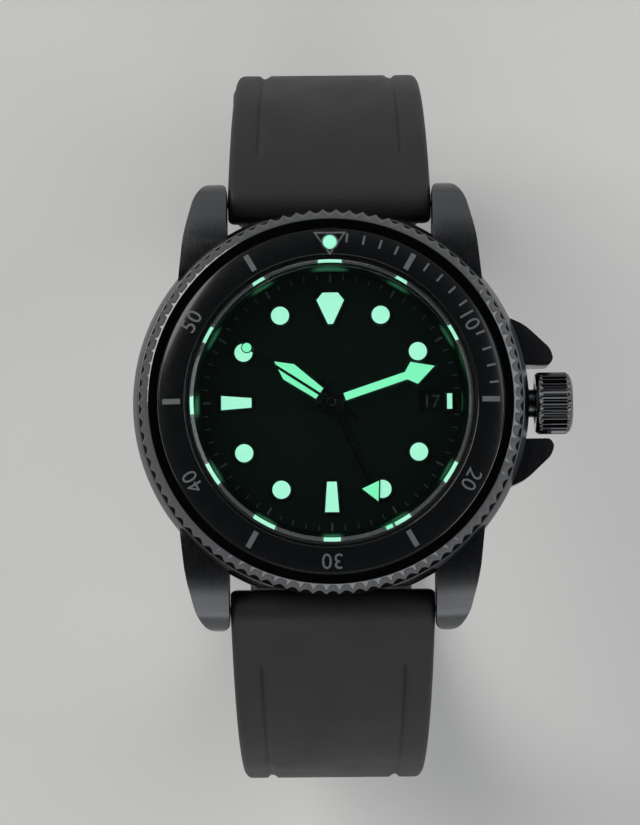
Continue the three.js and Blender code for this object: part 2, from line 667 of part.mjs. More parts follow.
function tailStrap() {
  const body = strapBody(TAIL_S, []);
  const holes = [];
  for (let i = 0; i < HOLES; i += 1) {
    const hole = new THREE.CylinderGeometry(1.2, 1.2, 6, 10);
    holes.push(hole.applyMatrix4(strapFrame(HOLE_FIRST_S + i * HOLE_PITCH)));
  }
  const tip = strapAt(TAIL_S).y;
  const roundFrom = tip + 8;
  const round = arc(1, 0, -180, 12).map(([x, y]) => [x * 10.1, roundFrom + y * 8]);
  const waste = [[-14, roundFrom], [-14, tip - 4], [14, tip - 4], [14, roundFrom], ...round];
  const trim = plate(outline(waste), -62, -50);
  return mirrored(cut(body, trim, ...holes), 1, -1);
}

// rubber loop around the strap with room for a second layer outside it
function keeper(s) {
  const side = STRAP_NARROW / 2 + 0.25;
  const under = -STRAP_THIN / 2 - 0.3;
  const over = STRAP_THIN / 2 + 2.9;
  const wall = 1.1;
  const loop = outline([
    [-side - wall, under - wall], [side + wall, under - wall], [side + wall, over + wall],
    [-side - wall, over + wall],
  ]);
  const inner = [[-side, under], [side, under], [side, over], [-side, over]];
  loop.holes.push(new THREE.Path(inner.map(([x, y]) => new THREE.Vector2(x, y))));
  return plate(loop, -KEEPER_WIDTH / 2, KEEPER_WIDTH / 2).applyMatrix4(strapFrame(s));
}

piece('strap_buckle_side', buckleStrap(), RUBBER);
piece('strap_tail_side', tailStrap(), RUBBER);
piece('keeper_fixed', keeper(FIXED_KEEPER_S), RUBBER);
piece('keeper_free', keeper(FREE_KEEPER_S), RUBBER);

function springBar(half, tipHalf, radius, tipRadius) {
  return turned([
    [0, -tipHalf], [tipRadius, -tipHalf], [tipRadius, -half], [radius, -half], [radius, half],
    [tipRadius, half], [tipRadius, tipHalf], [0, tipHalf],
  ], 12).rotateY(Math.PI / 2);
}

for (const [name, y] of [['spring_bar_12', SPRING_BAR_Y], ['spring_bar_6', -SPRING_BAR_Y]]) {
  const bar = springBar(LUG_GAP / 2 - 0.1, LUG_GAP / 2 + 1.3, BAR_R, BAR_TIP_R);
  piece(name, bar.translate(0, y, SPRING_BAR_Z), STEEL);
}

// ---- buckle ----
const BUCKLE_TILT = -3 * DEG;
const BUCKLE_IN = 10.35;
const BUCKLE_OUT = 12.5;
const BUCKLE_REACH = 9;
const buckleFrame = strapFrame(BUCKLE_S, BUCKLE_TILT);

// plan outlines use X across and Y along the buckle, away from the strap
function flatOnBuckle(shape, low, high) {
  const geometry = plate(shape, low, high);
  const turn = new THREE.Matrix4().makeBasis(
    new THREE.Vector3(1, 0, 0), new THREE.Vector3(0, 0, -1), new THREE.Vector3(0, 1, 0));
  return geometry.applyMatrix4(turn).applyMatrix4(buckleFrame);
}

function buckle() {
  const half = [
    [BUCKLE_IN, -1.5], [BUCKLE_OUT - 0.6, -1.5], [BUCKLE_OUT, -0.9], [BUCKLE_OUT, 6.5],
    [BUCKLE_OUT - 0.8, 8.3], [BUCKLE_OUT - 2.6, BUCKLE_REACH], [-BUCKLE_OUT + 2.6, BUCKLE_REACH],
    [-BUCKLE_OUT + 0.8, 8.3], [-BUCKLE_OUT, 6.5], [-BUCKLE_OUT, -0.9], [-BUCKLE_OUT + 0.6, -1.5],
    [-BUCKLE_IN, -1.5], [-BUCKLE_IN, 5.6], [-BUCKLE_IN + 1.2, 6.8], [BUCKLE_IN - 1.2, 6.8],
    [BUCKLE_IN, 5.6],
  ];
  const notch = flatOnBuckle(outline([[-1.05, 6], [1.05, 6], [1.05, 10], [-1.05, 10]]), 0, 3);
  const holes = acrossBar(0.52, 11.6).applyMatrix4(strapFrame(BUCKLE_S));
  return cut(flatOnBuckle(outline(half), -1, 1), notch, holes);
}

function tongue() {
  const blade = outline([
    [-1.25, 0], [1.25, 0], [0.95, 4], [0.95, 7.9], [0.6, 8.6], [-0.6, 8.6], [-0.95, 7.9], [-0.95, 4],
  ]);
  const barrel = acrossBar(1.35, 1.25, 16).applyMatrix4(buckleFrame);
  const bore = acrossBar(BUCKLE_BAR_R + 0.06, 3).applyMatrix4(buckleFrame);
  return cut(join(flatOnBuckle(blade, 0.06, 0.96), barrel), bore);
}

piece('buckle_frame', buckle(), BLACK_STEEL);
piece('buckle_tongue', tongue(), BLACK_STEEL);
const buckleBar = springBar(10.2, 11.4, BUCKLE_BAR_R, 0.46);
piece('buckle_spring_bar', buckleBar.applyMatrix4(strapFrame(BUCKLE_S)), STEEL);

export default watch;
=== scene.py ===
"""Dive watch with a 24-hour hand: the looks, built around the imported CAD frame.

Lengths below are millimetres in the CAD frame and MM turns them into metres. +Z comes out of the
crystal, +Y is 12 o'clock and +X is 3 o'clock.
"""
import json
import math

import bmesh
import bpy
from mathutils import Matrix, Vector


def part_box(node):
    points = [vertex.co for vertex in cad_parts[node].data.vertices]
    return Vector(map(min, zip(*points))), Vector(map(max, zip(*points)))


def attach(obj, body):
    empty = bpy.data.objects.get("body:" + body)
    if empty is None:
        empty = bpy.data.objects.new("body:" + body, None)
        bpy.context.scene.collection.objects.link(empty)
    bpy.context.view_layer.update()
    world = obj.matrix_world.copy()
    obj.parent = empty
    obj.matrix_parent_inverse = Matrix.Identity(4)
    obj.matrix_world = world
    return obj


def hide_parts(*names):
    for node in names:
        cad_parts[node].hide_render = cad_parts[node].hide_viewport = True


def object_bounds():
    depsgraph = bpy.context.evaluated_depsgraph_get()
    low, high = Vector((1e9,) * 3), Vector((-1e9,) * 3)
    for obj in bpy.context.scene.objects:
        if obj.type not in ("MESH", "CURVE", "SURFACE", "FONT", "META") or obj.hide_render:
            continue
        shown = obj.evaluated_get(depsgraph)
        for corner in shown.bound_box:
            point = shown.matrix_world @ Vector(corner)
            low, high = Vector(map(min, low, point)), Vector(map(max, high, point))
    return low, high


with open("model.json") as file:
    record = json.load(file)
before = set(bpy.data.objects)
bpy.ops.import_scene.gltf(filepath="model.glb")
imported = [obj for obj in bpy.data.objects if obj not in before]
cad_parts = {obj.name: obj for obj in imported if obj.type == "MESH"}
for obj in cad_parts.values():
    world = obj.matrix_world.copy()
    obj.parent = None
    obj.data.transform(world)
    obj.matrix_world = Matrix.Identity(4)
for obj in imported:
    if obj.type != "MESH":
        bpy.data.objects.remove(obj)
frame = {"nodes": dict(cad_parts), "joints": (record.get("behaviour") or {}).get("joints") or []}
CAD_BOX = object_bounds()

MM = 0.001
DEG = math.pi / 180
SIDES = 256


# ---------------------------------------------------------------- frame values
def span(node):
    """Lowest and highest corner of a CAD node, in millimetres."""
    low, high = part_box(node)
    return low / MM, high / MM


def joint(name):
    return next(j for j in frame["joints"] if j["name"] == name)


def clockwise(degrees):
    """Turn about Z that takes 12 o'clock to an angle clockwise from it."""
    return Matrix.Rotation(-degrees * DEG, 4, "Z")


DIAL_LOW, DIAL_HIGH = span("dial")
DIAL_TOP = DIAL_HIGH.z
DIAL_R = DIAL_HIGH.y
MARKER_LOW, MARKER_TOP = span("marker_12")[0].z, span("marker_12")[1].z
CRYSTAL_LOW, CRYSTAL_HIGH = span("crystal")
CRYSTAL_R = CRYSTAL_HIGH.y
INSERT_LOW, INSERT_HIGH = span("bezel_insert")
INSERT_OUT = INSERT_HIGH.y
BEZEL_LOW, BEZEL_HIGH = span("bezel")
BEZEL_R = BEZEL_HIGH.y
RING_LOW, RING_HIGH = span("chapter_ring")
FLOOR_Z = CAD_BOX[0].z - 0.05 * MM            # in metres, like CAD_BOX


# ---------------------------------------------------------------- camera, light, floor
def put_in_scene(obj):
    bpy.context.scene.collection.objects.link(obj)
    return obj


def make_camera():
    """Almost straight down on the dial, tipped a little towards 6 o'clock."""
    distance = 350
    elevation = 85.9 * DEG
    roll = 0.52 * DEG
    view_width = 67.725                       # across the picture, at the target's distance
    target = Vector((-1.1852, -0.9947, DIAL_TOP + 0.3))
    data = bpy.data.cameras.new("camera")
    data.sensor_fit = "HORIZONTAL"
    data.sensor_width = 36
    data.lens = data.sensor_width * distance / view_width
    data.clip_start = 0.01
    data.clip_end = 20
    back = Vector((0, -math.cos(elevation), math.sin(elevation)))
    camera = put_in_scene(bpy.data.objects.new("camera", data))
    camera.location = (target + back * distance) * MM
    level = (-back).to_track_quat("-Z", "Y").to_matrix()
    camera.rotation_euler = (level @ Matrix.Rotation(-roll, 3, "Z")).to_euler()
    bpy.context.scene.camera = camera


def add_light(name, kind, place, energy, colour=(1, 1, 1)):
    """A light at a place in metres, turned to the frame's origin."""
    data = bpy.data.lights.new(name, kind)
    data.energy = energy
    data.color = colour
    light = put_in_scene(bpy.data.objects.new(name, data))
    light.location = place
    light.rotation_euler = (-Vector(place)).to_track_quat("-Z", "Y").to_euler()
    return data


def area_light(name, place, size, power, colour=(1, 1, 1)):
    data = add_light(name, "AREA", place, power, colour)
    data.shape = "RECTANGLE"
    data.size, data.size_y = size


def soft_sun(name, place, angle, strength, colour):
    """A very wide, soft key light that is as strong far away on the floor as at the watch."""
    add_light(name, "SUN", place, strength, colour).angle = angle


def make_world():
    """Soft room: pale near the horizon and dim overhead, so that the flat crystal doesn't mirror it."""
    world = bpy.data.worlds.new("studio")
    bpy.context.scene.world = world
    world.use_nodes = True
    nodes, links = world.node_tree.nodes, world.node_tree.links
    coords = nodes.new("ShaderNodeTexCoord")
    split = nodes.new("ShaderNodeSeparateXYZ")
    ramp = nodes.new("ShaderNodeValToRGB")
    ramp.color_ramp.interpolation = "EASE"
    ramp.color_ramp.elements[0].position = 0.45
    ramp.color_ramp.elements[0].color = (0.60, 0.615, 0.635, 1)
    ramp.color_ramp.elements[1].position = 0.96
    ramp.color_ramp.elements[1].color = (0.008, 0.009, 0.010, 1)
    links.new(coords.outputs["Generated"], split.inputs[0])
    links.new(split.outputs["Z"], ramp.inputs[0])
    links.new(ramp.outputs[0], nodes["Background"].inputs["Color"])


def make_floor():
    half_width = 3.0                          # metres
    mesh = bpy.data.meshes.new("floor")
    corners = [(-half_width, -half_width, 0), (half_width, -half_width, 0), (half_width, half_width, 0),
               (-half_width, half_width, 0)]
    mesh.from_pydata(corners, [], [(0, 1, 2, 3)])
    floor = put_in_scene(bpy.data.objects.new("floor", mesh))
    floor.location.z = FLOOR_Z
    floor.data.materials.append(floor_finish())


def make_studio():
    bpy.context.scene.view_settings.view_transform = "Standard"
    make_world()
    soft_sun("key", (-0.62, 0.42, 0.58), 44 * DEG, 1.35, (1, 0.98, 0.95))
    area_light("fill", (0.74, 0.15, 0.48), (0.6, 0.9), 1.8, (0.93, 0.97, 1))
    area_light("rim", (0.05, -0.80, 0.46), (1.0, 0.5), 1.4)
    make_floor()


# ---------------------------------------------------------------- material tools
class Finish:
    """A Principled material with helpers for procedural detail in object space."""

    def __init__(self, name, colour, roughness, metallic=0.0, **sockets):
        self.material = bpy.data.materials.new(name)
        self.material.use_nodes = True
        self.nodes = self.material.node_tree.nodes
        self.links = self.material.node_tree.links
        self.shader = self.nodes["Principled BSDF"]
        self.set("Base Color", (*colour, 1))
        self.set("Roughness", roughness)
        self.set("Metallic", metallic)
        for socket, value in sockets.items():
            self.set(socket.replace("_", " "), value)
        self.colour = colour
        self.roughness = roughness

    def set(self, socket, value):
        self.shader.inputs[socket].default_value = value

    def node(self, kind, **values):
        made = self.nodes.new(kind)
        for key, value in values.items():
            if key in made.inputs:
                made.inputs[key].default_value = value
            else:
                setattr(made, key, value)
        return made

    def link(self, source, target):
        self.links.new(source, target)

    def place(self, scale=(1, 1, 1)):
        coords = self.node("ShaderNodeTexCoord")
        mapping = self.node("ShaderNodeMapping")
        mapping.inputs["Scale"].default_value = scale
        self.link(coords.outputs["Object"], mapping.inputs["Vector"])
        return mapping.outputs["Vector"]

    def around(self, turn, out, up):
        """Coordinates (angle, radius, height) about Z, each times its own density."""
        coords = self.node("ShaderNodeTexCoord")
        split = self.node("ShaderNodeSeparateXYZ")
        self.link(coords.outputs["Object"], split.inputs[0])
        angle = self.node("ShaderNodeMath", operation="ARCTAN2")
        self.link(split.outputs["Y"], angle.inputs[0])
        self.link(split.outputs["X"], angle.inputs[1])
        flat = self.node("ShaderNodeCombineXYZ")
        self.link(split.outputs["X"], flat.inputs[0])
        self.link(split.outputs["Y"], flat.inputs[1])
        radius = self.node("ShaderNodeVectorMath", operation="LENGTH")
        self.link(flat.outputs[0], radius.inputs[0])
        joined = self.node("ShaderNodeCombineXYZ")
        for i, (value, density) in enumerate(
                [(angle.outputs[0], turn), (radius.outputs["Value"], out), (split.outputs["Z"], up)]):
            times = self.node("ShaderNodeMath", operation="MULTIPLY")
            times.inputs[1].default_value = density
            self.link(value, times.inputs[0])
            self.link(times.outputs[0], joined.inputs[i])
        return joined.outputs[0]

    def noise(self, vector, scale=1.0, detail=3.0):
        made = self.node("ShaderNodeTexNoise")
        made.inputs["Scale"].default_value = scale
        made.inputs["Detail"].default_value = detail
        self.link(vector, made.inputs["Vector"])
        return made.outputs["Fac"]

    def spread(self, value, low, high):
        ramp = self.node("ShaderNodeMapRange")
        ramp.inputs["To Min"].default_value = low
        ramp.inputs["To Max"].default_value = high
        self.link(value, ramp.inputs["Value"])
        return ramp.outputs["Result"]

    def vary_roughness(self, value, swing):
        spread = self.spread(value, self.roughness - swing, self.roughness + swing)
        self.link(spread, self.shader.inputs["Roughness"])
        return self

    def vary_colour(self, value, swing):
        mix = self.node("ShaderNodeMix", data_type="RGBA")
        mix.inputs[6].default_value = (*[c * (1 - swing) for c in self.colour], 1)
        mix.inputs[7].default_value = (*[min(1, c * (1 + swing)) for c in self.colour], 1)
        self.link(value, mix.inputs[0])
        self.link(mix.outputs[2], self.shader.inputs["Base Color"])
        return self

    def bump(self, value, height, strength=1.0):
        """Bump of a real height in millimetres."""
        made = self.node("ShaderNodeBump")
        made.inputs["Strength"].default_value = strength
        made.inputs["Distance"].default_value = height * MM
        self.link(value, made.inputs["Height"])
        previous = self.shader.inputs["Normal"]
        if previous.is_linked:
            self.link(previous.links[0].from_socket, made.inputs["Normal"])
        self.link(made.outputs[0], previous)
        return self


def brushed(name, colour, roughness, vector_of, strength=0.35):
    finish = Finish(name, colour, roughness, 1.0)
    lines = finish.noise(vector_of(finish), 1.0, 4.0)
    cloud = finish.noise(finish.place((140, 140, 140)), 1.0, 2.0)
    finish.vary_roughness(lines, 0.09).vary_colour(cloud, 0.06).bump(lines, 0.012, strength)
    return finish.material


def floor_finish():
    finish = Finish("floor_paper", (0.80, 0.79, 0.77), 0.9)
    grain = finish.noise(finish.place((60, 60, 60)), 1.0, 4.0)
    return finish.vary_colour(grain, 0.02).bump(grain, 0.05, 0.2).material


def metal_finishes(made):
    steel = (0.105, 0.108, 0.113)
    made["steel_round"] = brushed("steel_brushed_round", steel, 0.27, lambda f: f.around(6, 9000, 9000))
    made["steel_long"] = brushed("steel_brushed_long", steel, 0.27, lambda f: f.place((9000, 300, 9000)))
    polished = Finish("steel_polished", (0.13, 0.133, 0.138), 0.09, 1.0)
    wear = polished.noise(polished.place((400, 400, 400)), 1.0, 3.0)
    made["steel_polished"] = polished.vary_roughness(wear, 0.03).vary_colour(wear, 0.03).material

    nickel = Finish("black_nickel", (0.10, 0.105, 0.11), 0.12, 1.0)
    fine = nickel.noise(nickel.place((900, 900, 900)), 1.0, 3.0)
    made["nickel"] = nickel.vary_roughness(fine, 0.04).vary_colour(fine, 0.08).material

    # The green in this metal's base colour is painted glow: it tints every reflection green in place of the
    # luminous paint's light
    rehaut = Finish("rehaut_gloss_painted_green_glow", (0.05, 0.125, 0.078), 0.2, 1.0)
    faint = rehaut.noise(rehaut.around(30, 2000, 2000), 1.0, 2.0)
    made["rehaut"] = rehaut.vary_roughness(faint, 0.03).material

    made["brass"] = brushed("satin_brass", (0.72, 0.55, 0.27), 0.3, lambda f: f.around(30, 9000, 9000))
    made["plated"] = brushed("rhodium_plate", (0.68, 0.69, 0.70), 0.25, lambda f: f.place((300, 9000, 300)))
    made["blued"] = brushed("blued_steel", (0.07, 0.10, 0.28), 0.2, lambda f: f.place((600, 600, 9000)), 0.15)


def face_finishes(made):
    """Ceramic, dial, print, luminous paint and sapphire."""
    ceramic = Finish("black_ceramic", (0.006, 0.0065, 0.007), 0.13, Coat_Weight=0.5, Coat_Roughness=0.04)
    speck = ceramic.noise(ceramic.place((1500, 1500, 1500)), 1.0, 2.0)
    ceramic.vary_roughness(speck, 0.04).vary_colour(speck, 0.2)
    made["ceramic"] = ceramic.bump(speck, 0.003, 0.15).material

    scale = Finish("bezel_scale_grey", (0.12, 0.125, 0.13), 0.45)
    dust = scale.noise(scale.place((2500, 2500, 2500)), 1.0, 3.0)
    made["scale"] = scale.vary_colour(dust, 0.15).vary_roughness(dust, 0.1).material

    # The green in this black is painted glow: it stands in for the haze of green light from the luminous
    # paint, and the date disc shares it
    dial = Finish("dial_matte_painted_green_glow", (0.002, 0.0075, 0.0045), 0.75, Specular_IOR_Level=0.07)
    grain = dial.noise(dial.place((6000, 6000, 6000)), 1.0, 3.0)
    dial.vary_colour(grain, 0.5).vary_roughness(grain, 0.1)
    made["dial"] = dial.bump(grain, 0.006, 0.35).material

    print_grey = Finish("printed_grey", (0.055, 0.065, 0.06), 0.7, Specular_IOR_Level=0.2)
    ink = print_grey.noise(print_grey.place((4000, 4000, 4000)), 1.0, 2.0)
    made["print"] = print_grey.vary_colour(ink, 0.2).material

    made["lume"] = lume("lume_markers", (0.30, 0.50, 0.42), (0.36, 1.0, 0.66), 0.85)
    made["lume_hands"] = lume("lume_hands", (0.16, 0.42, 0.28), (0.19, 1.0, 0.50), 0.85)
    made["lume_pip"] = lume("lume_pip", (0.22, 0.45, 0.36), (0.30, 1.0, 0.64), 0.66)
    made["glass"] = glass()


def soft_finishes(made):
    rubber = Finish("moulded_rubber", (0.0125, 0.013, 0.014), 0.58, Specular_IOR_Level=0.4)
    pores = rubber.noise(rubber.place((3200, 3200, 3200)), 1.0, 3.0)
    flow = rubber.noise(rubber.place((700, 700, 700)), 1.0, 2.0)
    dusty = rubber.noise(rubber.place((160, 160, 160)), 1.0, 6.0)
    rubber.vary_roughness(dusty, 0.16).vary_colour(dusty, 0.3)
    made["rubber"] = rubber.bump(flow, 0.03, 0.35).bump(pores, 0.05, 0.9).material

    seal = Finish("black_seal", (0.01, 0.01, 0.01), 0.5)
    soft = seal.noise(seal.place((1500, 1500, 1500)), 1.0, 2.0)
    made["seal"] = seal.vary_roughness(soft, 0.1).bump(soft, 0.01, 0.3).material


def make_finishes():
    made = {}
    metal_finishes(made)
    face_finishes(made)
    soft_finishes(made)
    return made


def lume(name, colour, glow, strength):
    """Luminous paint: fine grain, lit from inside."""
    finish = Finish(name, colour, 0.65)
    grain = finish.noise(finish.place((5000, 5000, 5000)), 1.0, 4.0)
    finish.vary_colour(grain, 0.06).bump(grain, 0.01, 0.25)
    finish.set("Emission Color", (*glow, 1))
    finish.set("Emission Strength", strength)
    return finish.material


def glass():
    """Sapphire. Light passes straight through it on its way to the dial, so the dial is lit."""
    finish = Finish("sapphire", (0.97, 0.99, 1.0), 0.0, IOR=1.77, Transmission_Weight=1.0,
                    Specular_IOR_Level=0.09)
    path = finish.node("ShaderNodeLightPath")
    clear = finish.node("ShaderNodeBsdfTransparent")
    clear.inputs["Color"].default_value = (0.92, 0.94, 0.94, 1)
    mix = finish.node("ShaderNodeMixShader")
    smear = finish.noise(finish.place((90, 90, 90)), 1.0, 3.0)
    finish.link(finish.spread(smear, 0.0, 0.012), finish.shader.inputs["Roughness"])
    finish.link(path.outputs["Is Shadow Ray"], mix.inputs[0])
    finish.link(finish.shader.outputs[0], mix.inputs[1])
    finish.link(clear.outputs[0], mix.inputs[2])
    finish.link(mix.outputs[0], finish.nodes["Material Output"].inputs["Surface"])
    return finish.material


# ---------------------------------------------------------------- mesh tools
def add_object(name, mesh, finish):
    """finish is one material, or a list for the mesh's material slots."""
    for material in finish if isinstance(finish, (list, tuple)) else [finish]:
        mesh.materials.append(material)
    return put_in_scene(bpy.data.objects.new(name, mesh))


def tidy_mesh(mesh, sharp=32):
    """Welds a mesh, points its normals outwards and shades it smooth up to an angle in degrees."""
    work = bmesh.new()
    work.from_mesh(mesh)
    bmesh.ops.remove_doubles(work, verts=work.verts, dist=1e-7)
    bmesh.ops.dissolve_degenerate(work, edges=work.edges, dist=1e-8)
    bmesh.ops.recalc_face_normals(work, faces=work.faces)
    work.to_mesh(mesh)
    work.free()
    mesh.shade_smooth()
    mesh.set_sharp_from_angle(angle=sharp * DEG)
    return mesh


def rounded(points, radius, steps=3, sharp=()):
    """A closed outline with its corners rounded. The corners numbered in sharp stay, and so do points
    on the axis of a turned profile."""
    out = []
    count = len(points)
    for i, point in enumerate(points):
        here = Vector(point)
        before = Vector(points[i - 1]) - here
        after = Vector(points[(i + 1) % count]) - here
        if here.x == 0 or radius == 0 or i in sharp:
            out.append(here)
            continue
        reach = min(radius, 0.45 * before.length, 0.45 * after.length)
        start = here + before.normalized() * reach
        end = here + after.normalized() * reach
        for k in range(steps + 1):
            t = k / steps
            out.append(start * (1 - t) ** 2 + here * 2 * t * (1 - t) + end * t * t)
    return out


def turned(name, profile, finish, radius=0.05, sides=SIDES, wave=None):
    """A profile of (radius, height) turned about Z. wave(r, z, angle) moves a point's radius."""
    points = rounded(profile, radius)
    verts, faces = [], []
    count = len(points)
    for i in range(sides):
        angle = 2 * math.pi * i / sides
        for p in points:
            r = p.x + (wave(p.x, p.y, angle) if wave else 0)
            verts.append((r * math.cos(angle) * MM, r * math.sin(angle) * MM, p.y * MM))
    for i in range(sides):
        for k in range(count):
            a, b = i * count + k, i * count + (k + 1) % count
            c, d = ((i + 1) % sides) * count + (k + 1) % count, ((i + 1) % sides) * count + k
            faces.append((a, b, c, d))
    mesh = bpy.data.meshes.new(name)
    mesh.from_pydata(verts, [], faces)
    return add_object(name, tidy_mesh(mesh), finish)


def rod(radius, low, high, finish, sides=48):
    """A cylinder along Z, used only to cut another piece or to join it."""
    return turned("rod", [(0, low), (radius, low), (radius, high), (0, high)], finish, 0, sides)


def evaluated_mesh(obj):
    bpy.context.view_layer.update()
    return bpy.data.meshes.new_from_object(obj.evaluated_get(bpy.context.evaluated_depsgraph_get()))


def mesh_from(curve):
    """The filled mesh of a curve or a text, which is then gone."""
    holder = put_in_scene(bpy.data.objects.new(curve.name, curve))
    mesh = evaluated_mesh(holder)
    bpy.data.objects.remove(holder)
    bpy.data.curves.remove(curve)
    mesh.materials.clear()
    return mesh


def cutout(name, outlines, low, high, finish, bevel=0.03, soft=2, matrix=None):
    """Flat piece between two heights: the first outline is its edge and the others are holes."""
    curve = bpy.data.curves.new(name, "CURVE")
    curve.dimensions = "2D"
    curve.fill_mode = "BOTH"
    curve.extrude = ((high - low) / 2 - bevel) * MM
    curve.bevel_depth = bevel * MM
    curve.bevel_resolution = soft
    curve.offset = -bevel * MM
    for outline in outlines:
        spline = curve.splines.new("POLY")
        spline.points.add(len(outline) - 1)
        for point, (x, y) in zip(spline.points, outline):
            point.co = (x * MM, y * MM, 0, 1)
        spline.use_cyclic_u = True
    mesh = mesh_from(curve)
    mesh.name = name
    mesh.transform(Matrix.Translation((0, 0, (low + high) / 2 * MM)))
    if matrix is not None:
        mesh.transform(matrix)
    return add_object(name, tidy_mesh(mesh), finish)


def number(value, size, thickness, finish, matrix, spacing=1.0):
    """A plain number centred on its place."""
    text = bpy.data.curves.new("number", "FONT")
    text.body = str(value)
    text.align_x = "CENTER"
    text.align_y = "CENTER"
    text.size = size * MM
    text.extrude = thickness * MM
    text.space_character = spacing
    mesh = mesh_from(text)
    mesh.transform(matrix)
    return add_object("number", tidy_mesh(mesh), finish)


def settle(obj):
    """Applies an object's modifiers to its mesh."""
    mesh = evaluated_mesh(obj)
    obj.modifiers.clear()
    obj.data = mesh
    return obj


def carve(obj, *cutters, how="DIFFERENCE"):
    """Cuts an object with others, or joins them to it, and removes the others."""
    for cutter in cutters:
        step = obj.modifiers.new("carve", "BOOLEAN")
        step.object = cutter
        step.operation = how
        step.solver = "EXACT"
        step.material_mode = "TRANSFER"
        settle(obj)
        bpy.data.objects.remove(cutter)
    return obj


def soften(obj, width, segments=3, angle=30, polish=None):
    """Rounds an object's sharp edges; polish is the material index of the rounded strip."""
    step = obj.modifiers.new("soften", "BEVEL")
    step.width = width * MM
    step.segments = segments
    step.limit_method = "ANGLE"
    step.angle_limit = angle * DEG
    step.use_clamp_overlap = True
    if polish is not None:
        step.material = polish
    settle(obj)
    obj.data.shade_smooth()
    obj.data.set_sharp_from_angle(angle=40 * DEG)
    return obj


def merge(name, parts):
    """One object from several."""
    work = bmesh.new()
    for part in parts:
        part.data.transform(part.matrix_world)
        work.from_mesh(part.data)
    mesh = bpy.data.meshes.new(name)
    work.to_mesh(mesh)
    work.free()
    made = add_object(name, mesh, list(parts[0].data.materials))
    for part in parts:
        bpy.data.objects.remove(part)
    return made


def stand_for(obj, body, slot, *nodes):
    """Ties a piece to its body and hides the CAD nodes that it is shown instead of. slot is not used."""
    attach(obj, body)
    if nodes:
        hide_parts(*nodes)
    return obj


def circle(radius, count=64, x=0, y=0):
    return [(x + radius * math.cos(2 * math.pi * i / count), y + radius * math.sin(2 * math.pi * i / count))
            for i in range(count)]


def both_sides(half):
    """Mirrors an outline's right half, given from one end of the axis to the other."""
    return list(half) + [(-x, y) for x, y in reversed(half) if abs(x) > 1e-6]


def shrink(points, by):
    """A convex or nearly convex outline moved inwards by a distance."""
    out = []
    count = len(points)
    area = sum(points[i - 1][0] * points[i][1] - points[i][0] * points[i - 1][1] for i in range(count))
    side = 1 if area > 0 else -1
    for i in range(count):
        a, b, c = Vector(points[i - 1]), Vector(points[i]), Vector(points[(i + 1) % count])
        n1 = (b - a).normalized()
        n2 = (c - b).normalized()
        n1, n2 = Vector((-n1.y, n1.x)) * side, Vector((-n2.y, n2.x)) * side
        middle = (n1 + n2)
        middle = middle / max(0.3, middle.dot(n1))
        out.append(tuple(b + middle * by))
    return out


FINISH = make_finishes()
make_camera()
make_studio()


# ---------------------------------------------------------------- crystal, rehaut and dial
def make_crystal():
    """Flat sapphire with a slightly crowned bevel, which shows a second image of each marker."""
    bevel_width, steps = 0.4, 8
    slope_in, slope_out = 51.2 * DEG, 55.5 * DEG
    low = CRYSTAL_LOW.z
    top = CRYSTAL_HIGH.z
    bevel = [(CRYSTAL_R - bevel_width, top)]
    for i in range(steps):
        slope = slope_in + (slope_out - slope_in) * (i + 0.5) / steps
        r, z = bevel[-1]
        bevel.append((r + bevel_width / steps, z - bevel_width / steps * math.tan(slope)))
    crystal = turned("sapphire_crystal", [(0, low), (CRYSTAL_R, low), *reversed(bevel), (0, top)],
                     FINISH["glass"], 0)
    stand_for(crystal, "case", "crystal", "crystal")
    spare_from_key(crystal)
    low, high = span("crystal_gasket")
    inner = CRYSTAL_R + 0.015
    gasket = turned("crystal_gasket_ring", [
        (inner, low.z), (high.y, low.z), (high.y, high.z), (inner, high.z),
    ], FINISH["seal"], 0.08)
    stand_for(gasket, "case", "seal", "crystal_gasket")


def spare_from_key(crystal):
    """Keeps the wide key light's image out of the flat crystal, where it would hide the dial."""
    spared = bpy.data.collections.new("spared_from_key")
    spared.objects.link(crystal)
    spared.collection_objects[0].light_linking.link_state = "EXCLUDE"
    bpy.data.objects["key"].light_linking.receiver_collection = spared


def make_rehaut():
    """Upright at the dial and slanted above, so that the slant mirrors the hour markers."""
    low, high, outer = RING_LOW.z, RING_HIGH.z, RING_HIGH.y
    inner, inner_at_top, step = 13.75, 14.45, 9.2
    ring = turned("rehaut", [
        (inner, low), (outer, low), (outer, high), (inner_at_top, high), (inner, step),
    ], FINISH["rehaut"], 0.02)
    stand_for(ring, "case", "rehaut", "chapter_ring")


def make_dial():
    window = [(9.3, -1.2), (11.85, -1.2), (11.85, 1.2), (9.3, 1.2)]
    centre_hole_r = 1.15
    dial = cutout("dial_plate", [circle(DIAL_R, 256), circle(centre_hole_r, 48), rounded(window, 0.12)],
                  DIAL_LOW.z, DIAL_TOP, FINISH["dial"], 0.05)
    stand_for(dial, "case", "dial", "dial")
    ticks = []
    outer = 13.6
    for minute in range(60):
        if minute == 15:                      # the marker at 3 stands there
            continue
        half_width, inner = (0.11, 12.75) if minute % 5 == 0 else (0.05, 13.05)
        edge = [(-half_width, inner), (half_width, inner), (half_width, outer), (-half_width, outer)]
        ticks.append(cutout("tick", [edge], DIAL_TOP - 0.01, DIAL_TOP + 0.012, FINISH["print"], 0.004, 0,
                            clockwise(minute * 6)))
    track = merge("minute_track", ticks)
    stand_for(track, "case", "dial")


